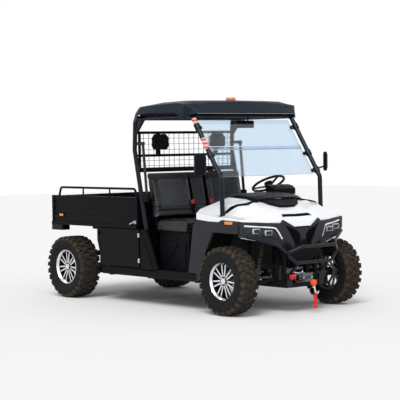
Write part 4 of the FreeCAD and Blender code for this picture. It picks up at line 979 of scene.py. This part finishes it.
# Headlamps
lamps = {
    "rim": 5.0,              # bezel left at the front, mm
    "depth": 26.0,
    "stripPath": [(672, 888), (600, 881), (480, 871), (362, 860), (341, 846), (312, 800), (282, 746)],
    "stripRadius": 9.0,
    "modules": [(560, 832), (432, 812)],
    "moduleSize": (34, 104, 56),
    "mouth": (0.006, -0.016),      # the recess: width of its rim and its depth, m
    "taper": (1, 0.86, 0.72),
    "cover": (1.0, 0.0025),        # lift in mm and thickness in m
    "lens": [(0, 20), (8, 20), (13, 17), (16, 12), (18, 6), (18.4, 1.5)],
}
lampCaster = faceCaster("headlamps")


def onLamps(y, z, lift=0.0):
    # the point of the lamps' front at that Y and Z, in stations
    hit = lampCaster.ray_cast(Vector((3.0, y / 1000.0, z / 1000.0)), Vector((-1, 0, 0)))[0]
    return (hit.x * 1000.0 + originStation + lift, y, z)


def addLampBowls():
    bowl = shellOf("headlamps")
    recess(bowl, lambda spot, normal: normal.x > 0.6, lamps["rim"] / 1000.0, (-lamps["depth"] / 1000.0, 0, 0))
    painted(bowl, "lampBlack")
    finish(bowl, "headlamps_skin", "chassis", 30)
    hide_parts("headlamps")


def addLampStrip():
    # light strip along the upper edge and down the inner one
    path = [onLamps(y, z, -5.0) for y, z in lamps["stripPath"]]
    return painted(addTube(path, lamps["stripRadius"], 12, smooth=1), "stripWhite")


def addLampModule(y, z):
    # plated box with a dark recess and a lens in it, seen through the cover
    x = onLamps(y, z)[0]
    module = addBlock((x - 22, y, z), lamps["moduleSize"], 9.0, 3)
    pickFaces(module, lambda spot, normal: normal.x > 0.9)
    width, depth = lamps["mouth"]
    bpy.ops.mesh.inset(thickness=width, depth=0)
    bpy.ops.mesh.extrude_region_move(TRANSFORM_OT_translate={"value": (depth, 0, 0)})
    bpy.ops.transform.resize(value=lamps["taper"], center_override=place(x, y, z))
    objectMode()
    painted(module, "zincSteel")
    mouth = max(vertex.co.x for vertex in module.data.vertices)
    paintFaces(module, "lampBlack", lambda spot, normal: normal.x > 0.9 and spot.x < mouth - 0.01)
    lens = painted(addRound((x - 26, y, z), (1, 0, 0), lamps["lens"], 24), "lampBlack")
    return [module, lens]


def addLampCover():
    # clear cover over the mouth of the bowl
    cover = shellOf("headlamps")
    pickFaces(cover, lambda spot, normal: normal.x <= 0.6)
    bpy.ops.mesh.delete(type="FACE")
    objectMode()
    lift, thick = lamps["cover"]
    cover.data.transform(Matrix.Translation((lift / 1000.0, 0, 0)))
    modify(cover, "SOLIDIFY", thickness=thick, offset=-1.0)
    painted(cover, "lampCover")
    finish(cover, "lamp_covers", "chassis", 30)


addLampCover()
addLampBowls()
inside = [addLampStrip()]
for y, z in lamps["modules"]:
    inside += addLampModule(y, z)
finishPair(joined("lamp_units_l", inside), "lamp_units", "chassis")
print("headlamps finished")


# Windscreen
screen = {
    "foot": (2500.0, 1342.0),    # where the pillar starts to lean
    "slope": (-0.556, 0.831),    # up the glass, X and Z
    "half": 665.0,
    # the strips along the panes' overlap: way up the slope, off it, thickness
    "strips": ((415.0, 29.0, 5.0), (379.0, 36.0, 5.0)),
    "bolts": (84.0, 300.0, 640.0),
    "knobAt": (652, 24),         # Y and off the glass
    "knob": [(0, 13), (3, 14), (5, 14), (6, 10), (14, 10), (17, 8), (17, 2)],
}


def onGlass(up, y, off):
    x, z = screen["foot"]
    run, rise = screen["slope"]
    return (x + run * up - rise * off, y, z + rise * up + run * off)


def addWindscreen():
    panes = dress("windshield", "pane", 0.5, 1)
    slope = Vector((screen["slope"][0], 0, screen["slope"][1]))
    paintFaces(panes, "paneEdgeAndPaintedHighlight", lambda spot, normal: abs(normal.dot(slope)) > 0.9 or abs(normal.y) > 0.9)
    bars = []
    for up, off, thick in screen["strips"]:
        strip = addBlock((originStation, 0, 0), (8, 2 * screen["half"] - 6, thick), 1.5)
        turn = Matrix.Rotation(math.atan2(screen["slope"][1], -screen["slope"][0]), 4, "Y")
        strip.data.transform(Matrix.Translation(place(*onGlass(up, 0, off))) @ turn)
        bars.append(painted(strip, "paneEdgeAndPaintedHighlight"))
    assemble("pane_seam", bars, "chassis")


def addPaneBolts():
    # knob and washer at each clamp's tab
    out = Vector((screen["slope"][1], 0, -screen["slope"][0]))
    knobs = [painted(addRound(onGlass(up, *screen["knobAt"]), out, screen["knob"], 16), "boltBlack")
             for up in screen["bolts"]]
    finishPair(joined("pane_knobs_l", knobs), "pane_knobs", "chassis")


addWindscreen()
addPaneBolts()
print("windscreen finished")


# Winch, rope and hook
winch = {
    "drum": (2915.0, 350.0),
    "half": 72.0,
    "wrap": 27.5,
    "turns": 17,
    "rope": 3.6,
    "ball": (3080.0, 0.0, 300.0),
    "ballRadius": 34.0,
    "ring": [(0, 17), (3, 19), (8, 19), (11, 16), (12, 10), (12, 3)],
    "endCover": [(0, 39), (6, 39), (9, 36), (9, 30), (6, 28), (6, 14), (10, 12), (10, 3)],
    "bolt": [(0, 11), (2, 11), (2.4, 8), (8, 8), (9, 6), (9, 2)],
    "strapX": (3099.0, 3111.0),
    "rods": ((2890, 382), (2940, 382), (2890, 322), (2940, 322)),    # X and Z
    "rodHalf": 132.0,
    "boltAt": (2998.0, 58.0, 348.0),
    "coverY": 145.0,
    "bars": ((196, 150, 62), (13.5, 39, 9)),     # heights and size of the strap's stitching
    "latch": [(3099, 0, 222), (3120, 0, 206), (3140, 0, 214)],
    "pin": ((3080.0, 0.0, 262.0), (0.2, 0, -1)),
    "clutch": [(2915, -120, 389), (2915, -120, 404), (2906, -98, 408), (2900, -86, 408)],
}


def addWinchRope():
    points = []
    count = winch["turns"] * 12
    for step in range(count + 1):
        turn = 2 * math.pi * step / 12
        y = -winch["half"] + 2 * winch["half"] * step / count
        points.append((winch["drum"][0] + winch["wrap"] * math.cos(turn), y,
                       winch["drum"][1] + winch["wrap"] * math.sin(turn)))
    rope = painted(addTube(points, winch["rope"], 8, smooth=0), "ropeFibre")
    finish(rope, "winch_rope", "chassis")


def addWinchParts():
    # tie rods, clutch lever, fairlead bolts and the end covers' ribs
    half = winch["rodHalf"]
    parts = [painted(addTube([(x, -half, z), (x, half, z)], 5.0, 10, smooth=0), "zincSteel")
             for x, z in winch["rods"]]
    x, y, z = winch["boltAt"]
    parts += [painted(addRound((x, way * y, z), (1, 0, 0), winch["bolt"], 6), "zincSteel") for way in (-1, 1)]
    x, z = winch["drum"]
    parts += [painted(addRound((x, way * winch["coverY"], z), (0, way, 0), winch["endCover"], 32), "framePaint")
              for way in (-1, 1)]
    parts.append(painted(addTube(winch["clutch"], 5.5, 12), "redButton"))
    assemble("winch_fittings", parts, "chassis")


def dressHook():
    hook = shellOf("winch_hook")
    centre = place(*winch["ball"])
    low, high = [place(value, 0, 0).x for value in winch["strapX"]]
    painted(hook, "brightSteel")
    finish(hook, "winch_hook_skin", "chassis")
    paintFaces(hook, "ropeFibre", lambda spot, normal: spot.z > 0.327 and spot.x < centre.x)
    paintFaces(hook, "redStrap", lambda spot, normal: low < spot.x < high and spot.z < 0.209)
    paintFaces(hook, "stopperRed", lambda spot, normal: (spot - centre).length < winch["ballRadius"] / 1000 + 0.0006)
    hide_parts("winch_hook")


def addStrapLoop():
    # the pull strap's folded end, stitching bars and the shackle's pin
    heights, size = winch["bars"]
    bars = [painted(addBlock((sum(winch["strapX"]) / 2, 0, z), size, 2.0), "redStrap") for z in heights]
    latch = painted(addTube(winch["latch"], 3.4, 10), "brightSteel")
    ring = painted(addRound(*winch["pin"], winch["ring"], 20), "brightSteel")
    assemble("hook_fittings", bars + [latch, ring], "chassis")


addWinchRope()
addWinchParts()
dressHook()
addStrapLoop()
print("winch finished")


# Dampers: X, then Y and Z of the foot and of the head
dampers = {
    "front": (2755.0, (490.0, 301.3), (372.0, 770.0)),
    "rear": (128.0, (440.0, 301.9), (345.0, 690.0)),
    # from, to as shares of the length, radius: body, rod and the three spring seats
    "tubes": ((0.0, 0.40, 16.5), (0.36, 1.0, 7.0), (0.10, 0.145, 30.5), (0.225, 0.24, 30.5), (0.845, 0.875, 30.5)),
    "wire": 5.5,
    "coil": 25.5,
    "turns": 9,
    "eye": [(0, 9), (0, 15), (34, 15), (34, 9), (32, 8), (32, 2)],
}


def addDamper(name, x, foot, head):
    def along(share, out=0.0, turn=0.0):
        dy, dz = head[0] - foot[0], head[1] - foot[1]
        size = math.hypot(dy, dz)
        side = (dz / size, -dy / size)
        across, ahead = out * math.cos(turn), out * math.sin(turn)
        return (x + ahead, foot[0] + share * dy + side[0] * across, foot[1] + share * dz + side[1] * across)

    parts = [addTube([along(share), along(reach)], radius, 24, smooth=0) for share, reach, radius in dampers["tubes"]]
    count = dampers["turns"] * 16
    coil = [along(0.235 + 0.615 * step / count, dampers["coil"], 2 * math.pi * step / 16)
            for step in range(count + 1)]
    parts.append(addTube(coil, dampers["wire"], 8, smooth=0))
    parts += [addRound((x - 17, *point), (1, 0, 0), dampers["eye"], 20) for point in (foot, head)]
    return painted(joined(name, parts), "springSteel")


for name in ("front", "rear"):
    left = addDamper("damper_" + name + "_l", *dampers[name])
    right = copied(left, [mirrorY])[0]
    for piece, side in ((left, "l"), (right, "r")):
        finish(piece, "damper_" + name + "_" + side, "chassis")
        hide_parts("shock_absorbers")
print("dampers finished")


# Belts, dash and cab fittings
cab = {
    "buckle": (1392.0, 130.0, 1076.0),
    "stalkFoot": (1448.0, 112.0, 930.0),
    "display": (2197.0, 345.0, 1203.0),
    "displaySize": (4.0, 230.0, 86.0),
    "lever": [(2225, 118, 1050), (2190, 118, 1096), (2150, 118, 1150), (2143, 118, 1176)],
    "boot": [(0, 34), (6, 34), (10, 26), (15, 27), (20, 18), (25, 19), (32, 9), (36, 7)],
    "knob": [(-10, 9), (-6, 14), (4, 21), (16, 24), (28, 21), (35, 13), (37, 4)],
    "buckleSize": (18, 34, 46),
    "bootAt": (2225, 118, 1042),
    "switchAt": (2207, 1082),                    # X and Z
    "switchSize": (10, 24, 34),
    "padAt": (2238, 478),
    "padLean": -28.0,
    "pedals": ((300.0, 52.0), (400.0, 78.0)),    # Y and width
    "pedalArm": ((2328, 690), (2300, 620), (2262, 520), (2246, 486)),
    "switches": (-60.0, -20.0, 20.0, 60.0),
}


def addBuckles():
    for side, sign in sides.items():
        x, y, z = cab["buckle"]
        head = addBlock((x, sign * y, z), cab["buckleSize"], 5.0, 3)
        recess(head, lambda spot, normal: normal.z > 0.9, 0.003, (0, 0, 0.004))
        painted(head, "redButton")
        foot = cab["stalkFoot"]
        path = [(foot[0], sign * foot[1], foot[2]), (x + 2, sign * y, z - 70), (x, sign * y, z - 18)]
        stalk = painted(addTube(path, 8.0, 12), "trimBlack")
        assemble("buckle_button_" + side, [head, stalk], "chassis")


def addDisplay():
    # hooded gauge face with a dark screen
    x, y, z = cab["display"]
    face = painted(addBlock((x, y, z), cab["displaySize"], 1.6, 2), "trimBlack")
    recess(face, lambda spot, normal: normal.x < -0.9, 0.010, (0.002, 0, 0))
    paintFaces(face, "lampBlack", lambda spot, normal: normal.x < -0.9 and abs(spot.y - y / 1000) < 0.09)
    finish(face, "gauge_face", "chassis")


def addLever():
    shaft = painted(addTube(cab["lever"], 6.0, 12), "boltBlack")
    knob = painted(addRound(cab["lever"][-1], (-0.25, 0, 1), cab["knob"], 24), "softBlack")
    boot = painted(addRound(cab["bootAt"], (-0.5, 0, 1), cab["boot"], 24), "sealRubber")
    assemble("gear_lever", [shaft, knob, boot], "chassis")


def addSwitches():
    parts = []
    x, z = cab["switchAt"]
    for y in cab["switches"]:
        rocker = addBlock((x, y, z), cab["switchSize"], 2.5)
        recess(rocker, lambda spot, normal: normal.x < -0.9, 0.003, (0.003, 0, 0))
        parts.append(painted(rocker, "lampBlack"))
    assemble("dash_switches", parts, "chassis")


def addPedals():
    parts = []
    x, z = cab["padAt"]
    for y, width in cab["pedals"]:
        arm = painted(addTube([(ahead, y, up) for ahead, up in cab["pedalArm"]], 7.0, 12), "framePaint")
        pad = addBlock((x, y, z), (12, width, 72), 4.0)
        hinge = Matrix.Translation(place(x, y, z))
        turn = hinge @ Matrix.Rotation(math.radians(cab["padLean"]), 4, "Y") @ hinge.inverted()
        pad.data.transform(turn)
        painted(pad, "sealRubber")
        parts += [arm, pad]
        for step in range(4):
            bar = addBlock((x - 7.5, y, z - 23 + 15 * step), (5, width - 14, 5), 1.5)
            bar.data.transform(turn)
            parts.append(painted(bar, "sealRubber"))
    assemble("pedals", parts, "chassis")


addBuckles()
addDisplay()
addLever()
addSwitches()
addPedals()
print("cab fittings added")


# Mirrors, warning tape and painted highlight lines along the roof and the front panel
outside = {
    "mirror": (2407.0, 896.0, 1500.0),
    "mirrorTurn": 40.0,
    "mirrorSize": (3.0, 104.0, 176.0),
    "tape": ((676.0, 738.0), (366.0, 496.0)),    # stretches of the right pillar, up its slope
    "tapeRadius": 24.7,
    "tapePitch": 0.034,
    "tapeWhite": (0.66, 0.58, 0.57),
    "pillarHalf": 697.0,
    # a painted highlight along the roof's front lip
    "visorHighlightLine": [(2128, -686, 2013), (2128, 0, 2014), (2128, 686, 2013)],
    # a painted highlight along the fascia's lip under the lamps
    "fasciaHighlightLine": [(2790, 716, 772), (2840, 636, 753), (2893, 528, 732), (2908, 430, 708), (2920, 350, 683)],
}


def addMirrorFaces():
    x, y, z = outside["mirror"]
    pane = addBlock((originStation - 31, 0, 0), outside["mirrorSize"], 1.2)
    turn = Matrix.Rotation(math.radians(outside["mirrorTurn"]), 4, "Z")
    pane.data.transform(Matrix.Translation(place(x, y, z)) @ turn)
    painted(pane, "mirrorFace")
    finishPair(pane, "mirror_pane", "chassis")


def stripeTape():
    # slanted red and white bars round the tube
    tree = finishes["hazardTape"].node_tree
    inputs = tree.nodes["Principled BSDF"].inputs
    red = inputs["Base Color"].links[0].from_socket
    split = splitOf(tree, spotOf(tree))
    along = mathOf(tree, "ADD", productOf(tree, split["X"], screen["slope"][0]),
                   productOf(tree, split["Z"], screen["slope"][1]))
    slant = mathOf(tree, "ADD", along, productOf(tree, split["X"], 0.5))
    bars = mathOf(tree, "FRACT", productOf(tree, slant, 1.0 / outside["tapePitch"]))
    share = mathOf(tree, "GREATER_THAN", bars, 0.5)
    feed(tree, inputs, {"Base Color": mixOf(tree, share, red, (*outside["tapeWhite"], 1))})


def addTape():
    stripeTape()
    slope = Vector((screen["slope"][0], 0, screen["slope"][1]))
    sleeves = []
    size, edge = outside["tapeRadius"], 0.6
    for low, high in outside["tape"]:
        foot = onGlass(low, -outside["pillarHalf"], 0)
        band = [(0, size - edge), (edge, size), (high - low - edge, size), (high - low, size - edge)]
        sleeves.append(painted(addRound(foot, slope, band, 32), "hazardTape"))
    assemble("pillar_tape", sleeves, "chassis")


def addPaintedHighlights():
    # painted highlights: a pale line along the lip under the lamps and a bright line along the lip of the roof's
    # visor
    left = painted(addTube(outside["fasciaHighlightLine"], 2.6, 8), "paneEdgeAndPaintedHighlight")
    finishPair(left, "fascia_painted_highlight", "chassis")
    # a bright zinc line that paints the highlight on the roof's front lip
    visor = painted(addTube(outside["visorHighlightLine"], 2.4, 8), "zincSteel")
    finish(visor, "visor_painted_highlight", "chassis")


addMirrorFaces()
addTape()
addPaintedHighlights()
print("mirrors and lines added")


# Bed, storage boxes and small hardware
hardware = {
    "bedMarker": (-191.0, 744.0, 919.0),
    "hinges": (470.0, 740.0),       # heights of the storage doors' hinges
    "hingeAt": (1236.0, 758.0),
    "relay": (2990.0, -204.0, 366.0),
    # centre and size of blocks
    "skirt": ((1600, 726, 2045), (700, 8, 80)),
    "frontSkirt": ((2063, 0, 2048), (8, 1330, 92)),
    "core": ((2880, 0, 786), (22, 430, 196)),
    "coreFin": ((2886, 0, 786), (8, 3, 170)),
    "cabMirror": ((2004, 88, 1900), (34, 236, 78)),
    "leverPlate": ((1156, -744, 876), (44, 10, 32)),
    # count and pitch in m
    "coreFins": (33, 0.0122),
    "slotFins": (31, 0.0135),
    "slotX": (2814.0, 2874.0),      # rear and front end of the hood's slot
    "slotPlate": (58, 424, 2),
    "slotFin": (46, 2.6, 6),
    "slotBar": (2.4, 412, 5),
    "mirrorStalk": [(2058, 88, 1970), (2046, 88, 1940), (2018, 88, 1908)],
    "mirrorClip": ((2060, 70, 1985), (0, 1, 0), [(0, 21), (1, 25), (35, 25), (36, 21)]),
    "hornAt": (2075, 350, 1268),
    "columnLean": 28.0,
    "lever": [(1176, -753, 890), (1158, -759, 883), (1108, -760, 862), (1084, -760, 856)],
    "hornPad": [(-14, 30), (-6, 42), (8, 46), (16, 43), (21, 34), (22, 26), (20, 23), (20, 6)],
    "bolt": [(0, 9.5), (1.6, 9.5), (2.2, 6.6), (7.4, 6.4), (8.2, 5.0), (8.2, 1.5)],
    "stud": [(0, 7), (2, 7), (2, 5), (9, 5), (10, 4), (10, 1)],
    "sleeve": [(0, 7.6), (1, 9), (47, 9), (48, 7.6), (50, 5), (52, 2)],
}


def addBedMarkers():
    x, y, z = hardware["bedMarker"]
    lens = addBlock((x, y, z), (72, 6, 27), 2.5, 3)
    recess(lens, lambda spot, normal: normal.y > 0.9, 0.003, (0, 0.002, 0))
    painted(lens, "amberLens")
    finishPair(lens, "bed_marker", "bed")


def addHinges():
    x, y = hardware["hingeAt"]
    parts = []
    for z in hardware["hinges"]:
        sleeve = painted(addRound((x, y, z - 24), (0, 0, 1), hardware["sleeve"], 20), "zincSteel")
        leaf = painted(addBlock((x - 10, y + 6.9, z), (12, 3, 38), 1.2), "zincSteel")
        parts += [sleeve, leaf]
    left = joined("door_hinges_l", parts)
    right = copied(left, [mirrorY])[0]
    finish(left, "door_hinges_l", "box_door_l")
    finish(right, "door_hinges_r", "box_door_r")


def addRelay():
    x, y, z = hardware["relay"]
    parts = [painted(addBlock((x, y, z), (44, 62, 46), 5.0, 3), "redButton")]
    for step in (-18, 18):
        stud = painted(addRound((x + 20, y + step, z + 8), (1, 0, 0), hardware["stud"], 6), "zincSteel")
        path = [(x + 26, y + step, z + 8), (x + 30, y + step + 8, z - 10), (x - 4, y + 44, z - 26),
                (2930, -142, 344)]
        parts += [stud, painted(addTube(path, 4.5, 10), "sealRubber")]
    bracket = painted(addBlock((x - 16, y, z - 4), (8, 72, 60), 2.0), "framePaint")
    assemble("winch_relay", parts + [bracket], "chassis")


def addBolts():
    # flanged hexagon bolt, modelled once
    master = painted(addRound((originStation, 0, 0), (0, 0, 1), hardware["bolt"], 12), "boltBlack")
    side = outside["pillarHalf"]
    spots = [onGlass(up + step, side + 31, 0) for up in screen["bolts"] for step in (-16, 16)]
    spots += [(x + 10, side + 4, 2005) for x in (1290, 1512, 1892)]
    spots += [(x, side + 4, z) for x, z in ((1150, 1962), (1240, 1962), (1150, 1880))]
    places = [Matrix.Translation(place(*spot)) @ turnTo((0, 1, 0)) for spot in spots]
    left = joined("cage_bolts_l", copied(master, places))
    drop(master)
    finishPair(left, "cage_bolts", "chassis")


def addRoofFillers():
    # rubber skirts that close the gaps between the roof and the tubes
    parts = []
    (x, y, z), size = hardware["skirt"]
    for side in (-1, 1):
        skirt = addBlock((x, side * y, z), size, 2.0)
        recess(skirt, lambda spot, normal: abs(normal.y) > 0.9, 0.008, depth=-0.0015)
        parts.append(skirt)
    front = addBlock(*hardware["frontSkirt"], 2.0)
    recess(front, lambda spot, normal: abs(normal.x) > 0.9, 0.008, depth=-0.0015)
    skirts = painted(joined("roof_skirts", parts + [front]), "sealRubber")
    finish(skirts, "roof_skirts", "chassis")


def rowOf(count, pitch):
    # shifts of a row that is centred on the middle, left to right
    return [Matrix.Translation((0, (step - count // 2) * pitch, 0)) for step in range(count)]


def addRadiator():
    # finned core behind the grille
    core = addBlock(*hardware["core"], 4.0)
    recess(core, lambda spot, normal: normal.x > 0.9, 0.012, (-0.008, 0, 0))
    painted(core, "meshBlack")
    fin = painted(addBlock(*hardware["coreFin"], 0.6, 1), "meshBlack")
    fins = copied(fin, rowOf(*hardware["coreFins"]))
    drop(fin)
    assemble("radiator_core", [core] + fins, "chassis")


def addHornPad():
    # moulded pad on the wheel's hub, square to the column
    lean = math.radians(hardware["columnLean"])
    axis = Vector((-math.sin(lean), 0, math.cos(lean)))
    pad = painted(addRound(hardware["hornAt"], axis, hardware["hornPad"], 28), "dashBlack")
    finish(pad, "horn_pad", "hand_wheel")


def addHoodMesh():
    # dark plate with fins under the hood's slot
    caster = faceCaster("hood")
    rear, front = hardware["slotX"]
    levels = [caster.ray_cast(place(x, 0, 2000), Vector((0, 0, -1)))[0].z * 1000.0 for x in (rear, front)]
    slope = math.atan2(levels[0] - levels[1], front - rear)
    centre = ((rear + front) / 2, 0, sum(levels) / 2 - 7)
    turn = Matrix.Translation(place(*centre)) @ Matrix.Rotation(slope, 4, "Y")
    plate = addBlock((originStation, 0, -4), hardware["slotPlate"], 0.6)
    plate.data.transform(turn)
    painted(plate, "meshBlack")
    fin = painted(addBlock((originStation, 0, -1), hardware["slotFin"], 0.8, 1), "trimBlack")
    fins = copied(fin, [turn @ shift for shift in rowOf(*hardware["slotFins"])])
    bar = painted(addBlock((originStation, 0, 0), hardware["slotBar"], 0.8, 1), "trimBlack")
    fins += copied(bar, [turn @ Matrix.Translation((shift, 0, 0)) for shift in (-0.012, 0.0, 0.012)])
    drop(fin)
    drop(bar)
    assemble("hood_slot_mesh", [plate] + fins, "chassis")


def addCabMirror():
    # wide inner mirror on a stalk from the front cross tube
    housing = addBlock(*hardware["cabMirror"], 12.0, 3)
    recess(housing, lambda spot, normal: normal.x < -0.9, 0.006, depth=-0.003)
    painted(housing, "trimBlack")
    paintFaces(housing, "mirrorFace", lambda spot, normal: normal.x < -0.9 and abs(spot.y - 0.088) < 0.1)
    stalk = painted(addTube(hardware["mirrorStalk"], 9.0, 12), "boltBlack")
    clip = painted(addRound(*hardware["mirrorClip"], 24), "boltBlack")
    assemble("cab_mirror", [housing, stalk, clip], "chassis")


def addBedLever():
    # release lever and its pivot plate, at the front foot of the right bed side
    plate = painted(addBlock(*hardware["leverPlate"], 2.5), "zincSteel")
    lever = painted(addTube(hardware["lever"], 6.5, 12), "brightSteel")
    assemble("bed_lever", [plate, lever], "bed")


addRoofFillers()
addRadiator()
addHornPad()
addHoodMesh()
addCabMirror()
addBedMarkers()
addHinges()
addRelay()
addBedLever()
addBolts()
print("hardware added")
